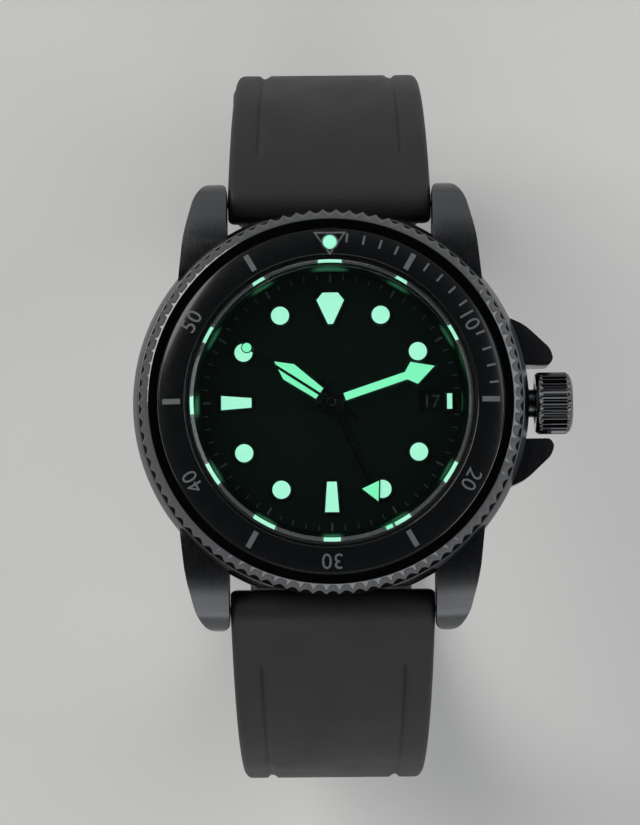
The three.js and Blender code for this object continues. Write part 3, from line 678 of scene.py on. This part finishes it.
def make_date():
    low, high = span("date_ring")
    days_in_ring, number_r, shown = 31, 10.6, 17
    half_print = 0.008
    root_r, tip_r = 9.1, 8.75                 # teeth point inwards
    teeth = []
    for i in range(2 * days_in_ring):
        r = tip_r if i % 2 else root_r
        angle = i * math.pi / days_in_ring
        teeth.append((r * math.cos(angle), r * math.sin(angle)))
    ring = cutout("date_disc", [circle(12.3, 160), teeth], low.z, high.z, FINISH["dial"], 0.02)
    stand_for(ring, "date", "date", "date_ring")
    numbers = []
    for day in range(1, days_in_ring + 1):
        turn = Matrix.Rotation((day - shown) * 2 * math.pi / days_in_ring, 4, "Z")
        place = Matrix.Translation((number_r * MM, 0, (high.z + half_print) * MM))
        numbers.append(number(day, 1.9, half_print, FINISH["print"], turn @ place))
    days = merge("date_numbers", numbers)
    stand_for(days, "date", "date")


def applied_marker(hour, outline, rim=0.18):
    """Metal frame with a crowned luminous filling, pointing outwards from the dial's centre."""
    turn = clockwise(hour * 30)
    node = f"marker_{hour}"
    inner = shrink(outline, rim)
    frame_piece = cutout(f"marker_{hour}_frame", [outline, inner], MARKER_LOW, MARKER_TOP,
                         FINISH["nickel"], 0.035, 2, turn)
    stand_for(frame_piece, "case", "hands", node)
    filling = cutout(f"marker_{hour}_lume", [shrink(inner, -0.02)], MARKER_LOW, MARKER_TOP - 0.01,
                     FINISH["lume"], 0.07, 4, turn)
    stand_for(filling, "case", "lume")


def make_markers():
    dot_r, dot_ring_r = 1.13, 10.63
    applied_marker(12, both_sides([(0.38, 8.1), (1.66, 10.84), (0.9, 11.79)]))
    applied_marker(3, both_sides([(0.98, 12.06), (0.98, 12.94)]), 0.17)
    for hour in (6, 9):
        applied_marker(hour, both_sides([(0.67, 8.22), (0.94, 11.78)]))
    for hour in (1, 2, 4, 5, 7, 8, 10, 11):
        applied_marker(hour, circle(dot_r, 96, 0, dot_ring_r))


make_crystal()
make_rehaut()
make_dial()
make_date()
make_markers()


# ---------------------------------------------------------------- hands
def luminous_hand(body, node, angle, hub, outline, lume_outline):
    """Blade with a window, its luminous filling, and a collar of radius hub round the post."""
    low, high = span(node)
    turn = clockwise(angle)
    blade = cutout(node + "_blade", [outline, lume_outline], low.z, high.z, FINISH["nickel"], 0.03, 2, turn)
    stand_for(blade, body, "hands", node)
    filling = cutout(node + "_lume", [shrink(lume_outline, -0.01)], low.z + 0.01, high.z - 0.012,
                     FINISH["lume_hands"], 0.04, 3, turn)
    stand_for(filling, body, "lume")
    boss = turned(node + "_boss", [
        (hub - 0.3, low.z), (hub, low.z), (hub, high.z + 0.05), (hub - 0.3, high.z + 0.05),
    ], FINISH["nickel"], 0.05, 96)
    stand_for(boss, body, "hands")


HOUR_ANGLE, MINUTE_ANGLE, SECONDS_ANGLE, GMT_ANGLE = 305.8, 71.45, 303, 155.1


def make_hands():
    luminous_hand("hour", "hour_hand", HOUR_ANGLE, 1.1, both_sides([
        (0.4, -1.6), (0.6, -0.9), (1.1, -0.3), (1.1, 0.4), (0.8, 1.0), (0.86, 1.3), (1.17, 5.5), (0, 7.7),
    ]), both_sides([(0.68, 1.49), (0.98, 5.48), (0, 7.34)]))
    luminous_hand("minute", "minute_hand", MINUTE_ANGLE, 0.9, both_sides([
        (0.3, -1.8), (0.5, -0.8), (0.9, -0.3), (0.9, 0.4), (0.56, 0.9), (0.56, 8.24), (1.46, 9.14),
        (0, 11.88),
    ]), both_sides([(0.41, 1.51), (0.41, 8.36), (1.22, 9.24), (0, 11.53)]))
    luminous_hand("gmt", "gmt_hand", GMT_ANGLE, 1.3, both_sides([
        (0.5, -2.6), (0.4, -1.5), (1.3, -0.4), (1.3, 0.4), (0.2, 1.5), (0.2, 9.42), (1.28, 9.42),
        (0, 11.95),
    ]), both_sides([(0.99, 9.66), (0, 11.6)]))
    make_seconds_hand()


def make_seconds_hand():
    low, high = span("seconds_hand")
    turn = clockwise(SECONDS_ANGLE)
    dot, dot_r, lume_r = 10.54, 0.6, 0.485
    rim = [(dot_r * math.cos(a * DEG), dot + dot_r * math.sin(a * DEG)) for a in range(-80, 261, 10)]
    counterweight = [(-0.15, -2.3), (-0.38, -2.5), (-0.38, -3.4), (0.38, -3.4), (0.38, -2.5), (0.15, -2.3)]
    outline = [(-0.15, 0.4), *counterweight, (0.15, 5.0), (0.11, 9.96), *rim, (-0.11, 9.96), (-0.15, 5.0)]
    stem = cutout("seconds_hand_stem", [outline, circle(lume_r, 48, 0, dot)], low.z, high.z,
                  FINISH["nickel"], 0.02, 2, turn)
    stand_for(stem, "seconds", "hands", "seconds_hand")
    filling = cutout("seconds_hand_lume", [circle(lume_r + 0.015, 48, 0, dot)], low.z + 0.01, high.z - 0.005,
                     FINISH["lume_hands"], 0.03, 3, turn)
    stand_for(filling, "seconds", "lume")
    cap = turned("seconds_hand_cap", [(0, low.z), (0.5, low.z), (0.5, high.z + 0.12), (0, high.z + 0.16)],
                 FINISH["nickel"], 0.06, 64)
    stand_for(cap, "seconds", "hands")


make_hands()


# ---------------------------------------------------------------- bezel
PIP_Y = (span("bezel_pip")[0].y + span("bezel_pip")[1].y) / 2
INSERT_CREST_R = 15.45                        # the insert slopes down from here to its outer edge
INSERT_RIM_Z = 12.2
INSERT_RISE = (INSERT_HIGH.z - INSERT_RIM_Z) / (INSERT_OUT - INSERT_CREST_R)


def make_bezel():
    teeth = 90
    low, high = BEZEL_LOW.z, BEZEL_HIGH.z
    depth = 0.38
    grooves_from, full_depth_after = 19.3, 0.7

    def coin(r, z, angle):
        edge = max(0.0, min(1.0, (r - grooves_from) / full_depth_after))
        groove = 0.5 - 0.5 * math.cos(teeth * angle)
        return -depth * edge * groove ** 0.6

    ring = turned("bezel_ring", [
        (15.82, low), (19.9, low), (BEZEL_R, low + 0.35), (BEZEL_R, 11.3), (19.9, 11.75), (19.2, high - 0.05),
        (INSERT_OUT + 0.05, high), (INSERT_OUT + 0.05, INSERT_LOW.z - 0.02), (15.26, INSERT_LOW.z - 0.02),
        (15.26, 11.45), (15.82, 11.45),
    ], FINISH["steel_polished"], 0.12, teeth * 10, coin)
    stand_for(ring, "bezel", "steel", "bezel")
    band = turned("ceramic_insert", [
        (15.3, INSERT_LOW.z), (INSERT_OUT, INSERT_LOW.z), (INSERT_OUT, INSERT_RIM_Z),
        (INSERT_CREST_R, INSERT_HIGH.z), (15.3, INSERT_HIGH.z - 0.1),
    ], FINISH["ceramic"], 0.06)
    seat = rod(0.96, 11, 14, FINISH["ceramic"], 96)
    seat.data.transform(Matrix.Translation((0, PIP_Y * MM, 0)))
    carve(band, seat)
    tidy_mesh(band.data)
    stand_for(band, "bezel", "ceramic", "bezel_insert")
    make_scale()
    make_pip()


def make_pip():
    """Luminous pearl in a metal cup, let into the insert at 12."""
    low, high = span("bezel_pip")
    floor, top = low.z + 0.2, high.z
    cup = turned("pip_cup", [
        (0, low.z), (0.92, low.z), (0.92, top - 0.14), (0.8, top - 0.04), (0.74, top - 0.1), (0.74, floor),
        (0, floor),
    ], FINISH["nickel"], 0.03, 96)
    pearl = turned("pip_lume", [
        (0, floor), (0.735, floor), (0.735, top - 0.16), (0.55, top - 0.06), (0.3, top - 0.02), (0, top),
    ], FINISH["lume_pip"], 0.08, 96)
    for part in (cup, pearl):
        part.data.transform(Matrix.Translation((0, PIP_Y * MM, 0)))
    stand_for(cup, "bezel", "steel", "bezel_pip")
    stand_for(pearl, "bezel", "lume")


def insert_height(r):
    return INSERT_RIM_Z + (INSERT_OUT - r) * INSERT_RISE


def make_scale():
    """Generic minute scale sunk in the insert: numbers each ten minutes, bars and ticks between."""
    parts = []
    ring_r, tick_r = 16.75, 17.2

    def on_insert(minute, r):
        place = Matrix.Translation((0, r * MM, (insert_height(r) + 0.004) * MM))
        return clockwise(minute * 6) @ place @ Matrix.Rotation(-math.atan(INSERT_RISE), 4, "X")

    def mark(name, outlines, minute, r):
        parts.append(cutout(name, outlines, -0.02, 0.01, FINISH["scale"], 0.005, 0, on_insert(minute, r)))

    for minute in range(1, 60):
        if minute % 10 == 0:
            parts.append(number(minute, 2.3, 0.01, FINISH["scale"], on_insert(minute, ring_r), 1.05))
        elif minute % 5 == 0:
            mark("bar", [[(-0.28, -0.95), (0.28, -0.95), (0.28, 0.95), (-0.28, 0.95)]], minute, ring_r)
        elif minute < 15:
            mark("tick", [[(-0.11, -0.5), (0.11, -0.5), (0.11, 0.5), (-0.11, 0.5)]], minute, tick_r)
    outer = [(-1.75, 1.12), (1.75, 1.12), (0, -1.42)]
    inner = [(-1.42, 0.93), (1.42, 0.93), (0, -1.12)]
    mark("triangle", [outer, inner], 0, PIP_Y)
    scale = merge("bezel_scale", parts)
    stand_for(scale, "bezel", "ceramic")


make_bezel()


# ---------------------------------------------------------------- case, crown and back
BORE_R = 14.95                                # movement space
TUBE_BORE_R = 1.54
LUG_HALF_GAP = 11
LUG_CUT_Y = 19.4                              # the strap's ends turn in slots from here outwards
LUG_TIP_Y = span("mid_case")[1].y
LUG_ROOT = (16.15, 12.9)                      # where a lug's flank runs into the round case


def slab(low, high, finish):
    """A block between two corners, used only as a cutter."""
    outline = [(low[0], low[1]), (high[0], low[1]), (high[0], high[1]), (low[0], high[1])]
    return cutout("slab", [outline], low[2], high[2], finish, 0.0, 0)


def to_side():
    """Takes an outline drawn in (y, z) and its thickness to the plane across X."""
    return Matrix(((0, 0, 1, 0), (1, 0, 0, 0), (0, 1, 0, 0), (0, 0, 0, 1)))


def mirror_copy(obj, x, y):
    copy = put_in_scene(obj.copy())
    copy.data = obj.data.copy()
    copy.data.transform(Matrix.Diagonal((x, y, 1, 1)))
    if x * y < 0:
        copy.data.flip_normals()
    return copy


def make_lug():
    finishes = [FINISH["steel_long"], FINISH["steel_polished"]]
    plan = rounded([
        (LUG_HALF_GAP, 15), (LUG_HALF_GAP, LUG_TIP_Y), (13.3, LUG_TIP_Y), (14.5, 22.3),
        (15.6, 18), LUG_ROOT,
    ], 1.4, 6, sharp=(0, 5))
    side = rounded([
        (12, 1.2), (20.5, 1.3), (LUG_TIP_Y, 2.4), (LUG_TIP_Y, 4.7), (22.8, 6.7), (18.5, 8.7), (12, 9.2),
    ], 2.6, 8)
    lug = cutout("lug", [plan], 0.2, 10, finishes, 0.0, 0)
    profile = cutout("lug_side", [side], 10, 17, finishes, 0.0, 0, to_side())
    carve(lug, profile, how="INTERSECT")
    return soften(lug, 0.32, 4, 35, 1)


def make_case():
    steel = FINISH["steel_round"]
    body = turned("case_middle", [
        (16.49, 1.2), (17.0, 1.2), (17.0, 1.75), (17.8, 1.75), (17.8, 1.2), (18.3, 1.2), (18.3, 0.7),
        (19.4, 0.7), (20.5, 2.0), (21, 4.0), (21, 8.0), (20.4, 9.7), (15.72, 9.7), (15.72, 11.35),
        (15.15, 11.35), (15.15, 10.3), (BORE_R, 10.3), (BORE_R, 2.4), (16.49, 2.4),
    ], steel, 0.12)
    lug = make_lug()
    guard_plan = rounded([
        (17.5, 9.6), (20.6, 8.25), (23.3, 5.7), (23.65, 4.6), (23.2, 3.9), (17.5, 3.9),
    ], 0.9, 5)
    guard = cutout("guard", [guard_plan], 2.6, 7.8, [steel, FINISH["steel_polished"]], 0, 0)
    soften(guard, 0.45, 4, 35, 1)
    parts = [lug, mirror_copy(lug, -1, 1), mirror_copy(lug, 1, -1), mirror_copy(lug, -1, -1),
             guard, mirror_copy(guard, 1, -1)]
    carve(body, *parts, how="UNION")
    past_lugs, slot_top = 27, 9.69
    carve(body, slab((-LUG_HALF_GAP, LUG_CUT_Y, -1), (LUG_HALF_GAP, past_lugs, slot_top), steel),
          slab((-LUG_HALF_GAP, -past_lugs, -1), (LUG_HALF_GAP, -LUG_CUT_Y, slot_top), steel))
    bore = rod(BORE_R, 2.41, 10.2, steel, SIDES)
    tube = rod(TUBE_BORE_R, 12, 24.5, steel, 64)
    tube.data.transform(along_stem())
    carve(body, bore, tube)
    tidy_mesh(body.data, 38)
    stand_for(body, "case", "steel", "mid_case")


def along_stem():
    """From heights along Z to distances from the dial's centre along the crown's axis."""
    height = (span("crown")[0].z + span("crown")[1].z) / 2
    return Matrix.Translation((0, 0, height * MM)) @ Matrix.Rotation(math.pi / 2, 4, "Y")


def make_crown():
    low, high = span("crown")
    radius = (high.z - low.z) / 2
    flutes = 28

    def fluted(r, z, angle):
        edge = max(0.0, min(1.0, (r - radius + 0.55) / 0.5))
        ends = max(0.0, min(1.0, (z - low.x - 0.35) / 0.4, (high.x - 0.35 - z) / 0.4))
        return -0.3 * edge * ends * abs(math.cos(flutes * angle / 2)) ** 1.5

    top = high.x
    skirt = [(2.15, low.x), (radius - 0.25, low.x), (radius, low.x + 0.3)]
    grip = [(radius, low.x + 0.5 + 0.3 * i) for i in range(10)]
    shoulder = [(radius, top - 0.7), (radius - 0.35, top - 0.3), (radius - 0.75, top - 0.08)]
    groove = [(2.25, top - 0.08), (2.2, top - 0.22), (1.95, top - 0.22), (1.9, top - 0.04)]
    cap = [(1.0, top), (0, top)]
    stem_socket = [(0, 24.4), (0.57, 24.4), (0.57, 23.7), (2.15, 23.7)]
    profile = skirt + grip + shoulder + groove + cap + stem_socket
    crown = turned("crown_fluted", profile, FINISH["steel_polished"], 0.06, flutes * 16, fluted)
    crown.data.transform(along_stem())
    stand_for(crown, "crown", "steel", "crown")
    low, high = span("crown_tube")
    tube = turned("crown_tube_threaded", [(0.61, low.x), (1.5, low.x), (1.5, high.x), (0.61, high.x)],
                  FINISH["steel_round"], 0.06, 96)
    tube.data.transform(along_stem())
    stand_for(tube, "case", "steel", "crown_tube")


def make_back():
    lid = turned("case_back_lid", [
        (0, 0), (11.2, 0), (11.3, 0.1), (11.7, 0.1), (11.8, 0), (15.4, 0), (17.4, 0.35), (18.2, 0.7),
        (18.2, 1.15), (16.45, 1.15), (16.45, 2.3), (14.9, 2.3), (14.9, 1.5), (0, 1.5),
    ], [FINISH["steel_round"], FINISH["steel_polished"]], 0.07)
    cutters = []
    notches = 6
    for i in range(notches):
        notch = slab((16, -1.1, -1), (19, 1.1, 0.8), FINISH["steel_polished"])
        notch.data.transform(Matrix.Rotation((i + 0.5) * 2 * math.pi / notches, 4, "Z"))
        cutters.append(notch)
    carve(lid, *cutters)
    tidy_mesh(lid.data, 38)
    stand_for(lid, "case", "steel", "case_back")


make_case()
make_crown()
make_back()


# ---------------------------------------------------------------- strap
STRAP_R1, STRAP_R2 = 40.5, 27.2
STRAP_START = -35 * DEG
STRAP_THICK, STRAP_THIN = 4.5, 3.2
STRAP_WIDE, STRAP_NARROW = 21.7, 20
BUCKLE_S, TAIL_S = 78, 98
SPRING_BAR = Vector(joint("strap_12_pivot")["pos_m"]) / MM
SHOULDER_S = (math.pi / 2 + STRAP_START) * STRAP_R1


def strap_at(s):
    """Centre line at length s from the spring bar on the 12 o'clock side: (y, z, heading)."""
    lower = math.pi / 2 * STRAP_R2
    y1 = SPRING_BAR.y + STRAP_R1 * math.sin(STRAP_START)
    z1 = SPRING_BAR.z - STRAP_R1 * math.cos(STRAP_START)
    y2 = y1 + STRAP_R1 - STRAP_R2
    if s <= 0:
        y = SPRING_BAR.y + s * math.cos(STRAP_START)
        return y, SPRING_BAR.z + s * math.sin(STRAP_START), STRAP_START
    if s <= SHOULDER_S:
        heading = STRAP_START - s / STRAP_R1
        return y1 - STRAP_R1 * math.sin(heading), z1 + STRAP_R1 * math.cos(heading), heading
    if s <= SHOULDER_S + lower:
        heading = -math.pi / 2 - (s - SHOULDER_S) / STRAP_R2
        return y2 - STRAP_R2 * math.sin(heading), z1 + STRAP_R2 * math.cos(heading), heading
    return y2 - (s - SHOULDER_S - lower), z1 - STRAP_R2, -math.pi


def strap_frame(s, tilt=0.0):
    """Matrix of a place on the strap: X across, Y out of its outer face, Z back along it."""
    y, z, heading = strap_at(s)
    heading += tilt
    out = (0, -math.sin(heading), math.cos(heading))
    back = (0, -math.cos(heading), -math.sin(heading))
    return Matrix(((1, 0, 0, 0), (0, out[1], back[1], y * MM), (0, out[2], back[2], z * MM), (0, 0, 0, 1)))


def strap_half_thickness(s):
    body = (STRAP_THIN + (STRAP_THICK - STRAP_THIN) * max(0, 1 - s / SHOULDER_S)) / 2
    if s < 0:
        return math.sqrt(max(0, body ** 2 - s ** 2))
    return body


def strap_half_width(s):
    z = strap_at(s)[1]
    low = strap_at(SHOULDER_S)[1]
    t = min(1, max(0, (z - low) / (SPRING_BAR.z - low)))
    return (STRAP_NARROW + (STRAP_WIDE - STRAP_NARROW) * t) / 2


def section(width, thick, relief):
    """Rounded rectangle with a channel along each edge of the outer face and ribs on the inner one."""
    points = []
    corner = min(0.75, thick * 0.95, width * 0.95)
    across = 44
    channel_x, channel_depth, channel_half = width - 3.0, 0.38, 0.42
    ribs_to, rib_depth, rib_pitch = width - 2.5, 0.3, 2.6

    def face(x, outer):
        depth = 0.0
        if outer:
            depth = channel_depth * math.exp(-((abs(x) - channel_x) / channel_half) ** 4)
        elif abs(x) < ribs_to:
            depth = rib_depth * (0.5 - 0.5 * math.cos(2 * math.pi * x / rib_pitch))
        return thick - min(depth * relief, thick * 0.4)

    def quarter(sx, sy, flip):
        arc = []
        for k in range(5):
            a = k / 4 * math.pi / 2
            x = width - corner + corner * math.sin(a)
            y = thick - corner + corner * math.cos(a)
            arc.append((sx * x, sy * y))
        return arc[::-1] if flip else arc

    for i in range(across + 1):
        x = -(width - corner) + 2 * (width - corner) * i / across
        points.append((x, face(x, True)))
    points += quarter(1, 1, False)[1:]
    points += quarter(1, -1, True)
    for i in range(across, -1, -1):
        x = -(width - corner) + 2 * (width - corner) * i / across
        points.append((x, -face(x, False)))
    points += quarter(-1, -1, False)[1:]
    points += quarter(-1, 1, True)[:-1]
    return points


def strap_loft(name, stations):
    """stations: (s, half width, half thickness, relief) from one end to the other."""
    verts, faces = [], []
    rings = []
    for s, width, thick, relief in stations:
        matrix = strap_frame(s)
        ring = []
        for x, y in section(max(width, 0.05), max(thick, 0.03), relief):
            ring.append(len(verts))
            verts.append(matrix @ Vector((x * MM, y * MM, 0)))
        rings.append(ring)
    count = len(rings[0])
    for a, b in zip(rings, rings[1:]):
        for k in range(count):
            faces.append((a[k], a[(k + 1) % count], b[(k + 1) % count], b[k]))
    faces.append(tuple(rings[0]))
    faces.append(tuple(reversed(rings[-1])))
    mesh = bpy.data.meshes.new(name)
    mesh.from_pydata(verts, [], faces)
    return add_object(name, tidy_mesh(mesh, 50), FINISH["rubber"])


def ends_and_body(length):
    """Lengths along the strap, close together at the case end."""
    barrel, barrel_steps, spacing = STRAP_THICK / 2, 12, 0.9
    stations = [-barrel * math.cos(i / barrel_steps * math.pi / 2) for i in range(barrel_steps)]
    steps = round(length / spacing)
    return stations + [length * i / steps for i in range(steps + 1)]


def relief_at(s, length):
    """Channels fade in past the case end and out before the other end."""
    return max(0.0, min(1.0, (s - 3) / 3, (length - s - 3) / 3))


BAR_BORE_R = 0.92                             # in the strap's ends, for the lugs' spring bars
BUCKLE_BORE_R = 0.82


def cross_cylinder(s, radius, half, tilt=0.0):
    """A cylinder across the strap, at length s from its spring bar."""
    cutter = rod(radius, -half, half, FINISH["rubber"])
    cutter.data.transform(strap_frame(s, tilt) @ Matrix.Rotation(math.pi / 2, 4, "Y"))
    return cutter


def make_buckle_strap():
    bar_end, end_steps, end_from = 1.85, 16, 0.9
    stations = []
    for s in ends_and_body(BUCKLE_S - 1):
        stations.append((s, strap_half_width(s), strap_half_thickness(s), relief_at(s, BUCKLE_S - 4)))
    for i in range(end_steps + 1):
        s = BUCKLE_S - end_from + (bar_end + end_from) * math.sin(i / end_steps * math.pi / 2)
        stations.append((s, strap_half_width(s), math.sqrt(max(0, bar_end ** 2 - (s - BUCKLE_S) ** 2)), 0))
    strap = strap_loft("strap_buckle_half", stations)
    slot = slab((-1.7, -4, -3), (1.7, 4, 3), FINISH["rubber"])
    slot.data.transform(strap_frame(BUCKLE_S))
    carve(strap, slot, cross_cylinder(BUCKLE_S, BUCKLE_BORE_R, 14), cross_cylinder(0, BAR_BORE_R, 14))
    tidy_mesh(strap.data, 50)
    stand_for(strap, "strap_12", "rubber", "strap_buckle_side")


def make_tail_strap():
    tip, tip_steps = 8, 24
    round_from = TAIL_S - tip
    stations = []
    for s in ends_and_body(round_from):
        stations.append((s, strap_half_width(s), strap_half_thickness(s), relief_at(s, TAIL_S - 5)))
    for i in range(1, tip_steps + 1):
        t = math.sin(i / tip_steps * math.pi / 2)
        s = round_from + tip * t
        width = STRAP_NARROW / 2 * math.sqrt(max(0, 1 - t * t))
        thin = STRAP_THIN / 2 - 0.35 * max(0.0, t - 0.6) / 0.4
        stations.append((s, width, thin, relief_at(s, TAIL_S - 5)))
    strap = strap_loft("strap_tail_half", stations)
    holes = []
    hole_count, hole_r, first_hole, hole_pitch = 7, 1.2, 43, 7
    for i in range(hole_count):
        hole = rod(hole_r, -4, 4, FINISH["rubber"], 40)
        hole.data.transform(strap_frame(first_hole + hole_pitch * i) @ Matrix.Rotation(math.pi / 2, 4, "X"))
        holes.append(hole)
    carve(strap, *holes, cross_cylinder(0, BAR_BORE_R, 14))
    tidy_mesh(strap.data, 50)
    strap.data.transform(Matrix.Diagonal((1, -1, 1, 1)))
    strap.data.flip_normals()
    stand_for(strap, "strap_6", "rubber", "strap_tail_side")


def make_keeper(name, node, body, s):
    """A rubber loop round the strap, with room above it for the tail."""
    side = STRAP_NARROW / 2 + 0.25
    under, over = -STRAP_THIN / 2 - 0.3, STRAP_THIN / 2 + 2.9
    wall = 1.1
    half_length = 3
    inner = [(-side, under), (side, under), (side, over), (-side, over)]
    outer = shrink(inner, -wall)
    loop = cutout(name, [rounded(outer, 2.3, 8), rounded(inner, 1.2, 6)], -half_length, half_length,
                  FINISH["rubber"], 0.42, 4, strap_frame(s))
    stand_for(loop, body, "rubber", node)


make_buckle_strap()
make_tail_strap()
make_keeper("keeper_fixed_loop", "keeper_fixed", "strap_12", 62)
make_keeper("keeper_free_loop", "keeper_free", "keeper", 51)


# ---------------------------------------------------------------- buckle
BUCKLE_TILT = -3 * DEG


def on_buckle():
    """Plan outlines use X across and Y away from the strap; thickness is along the outer normal."""
    lay_flat = Matrix(((1, 0, 0, 0), (0, 0, 1, 0), (0, -1, 0, 0), (0, 0, 0, 1)))
    return strap_frame(BUCKLE_S, BUCKLE_TILT) @ lay_flat


def make_buckle():
    inner, outer, reach = 10.35, 12.5, 9
    right = [(inner, -1.5), (outer, -1.5), (outer, 5.5), (outer - 0.6, reach - 0.6), (outer - 2.6, reach)]
    left = [(-x, y) for x, y in reversed(right)]
    inside = [(-inner, 5.6), (-inner + 1.2, 6.8), (inner - 1.2, 6.8), (inner, 5.6)]
    frame_piece = cutout("buckle_loop", [rounded(right + left + inside, 0.8, 5)], -1, 1,
                         FINISH["steel_polished"], 0.3, 4, on_buckle())
    notch = slab((-1.05, 6, 0), (1.05, 10, 3), FINISH["steel_polished"])
    notch.data.transform(on_buckle())
    bar = cross_cylinder(BUCKLE_S, 0.52, 11.6)
    carve(frame_piece, notch, bar)
    tidy_mesh(frame_piece.data, 38)
    stand_for(frame_piece, "buckle", "steel", "buckle_frame")
    blade = [(-1.25, 0), (1.25, 0), (0.95, 4), (0.95, 7.9), (0.6, 8.6), (-0.6, 8.6), (-0.95, 7.9), (-0.95, 4)]
    pin = cutout("buckle_pin", [rounded(blade, 0.5, 4)], 0.06, 0.96,
                 FINISH["steel_polished"], 0.2, 3, on_buckle())
    barrel = cross_cylinder(BUCKLE_S, 1.35, 1.25, BUCKLE_TILT)
    barrel.data.materials[0] = FINISH["steel_polished"]
    carve(pin, barrel, how="UNION")
    carve(pin, cross_cylinder(BUCKLE_S, BUCKLE_BORE_R, 3, BUCKLE_TILT))
    tidy_mesh(pin.data, 38)
    stand_for(pin, "tongue", "steel", "buckle_tongue")


make_buckle()


# ---------------------------------------------------------------- CAD pieces that stay
KEPT = {
    "steel_polished": ["winding_stem", "spring_bar_12", "spring_bar_6", "buckle_spring_bar"],
    "seal": ["case_back_gasket", "crown_gasket"],
    "brass": ["barrel_drum", "centre_wheel", "third_wheel", "fourth_wheel", "minute_wheel", "hour_wheel",
              "gmt_wheel", "date_driving_wheel", "balance_wheel", "main_plate"],
    "plated": ["train_bridge", "balance_cock", "rotor", "escape_wheel", "pallet_fork", "barrel_arbor",
               "movement_holder"],
    "blued": ["mainspring", "hairspring", "bezel_click_spring"],
}


def dress_kept_pieces():
    for finish, nodes in KEPT.items():
        for node in nodes:
            mesh = frame["nodes"][node].data
            mesh.materials.clear()
            mesh.materials.append(FINISH[finish])


dress_kept_pieces()
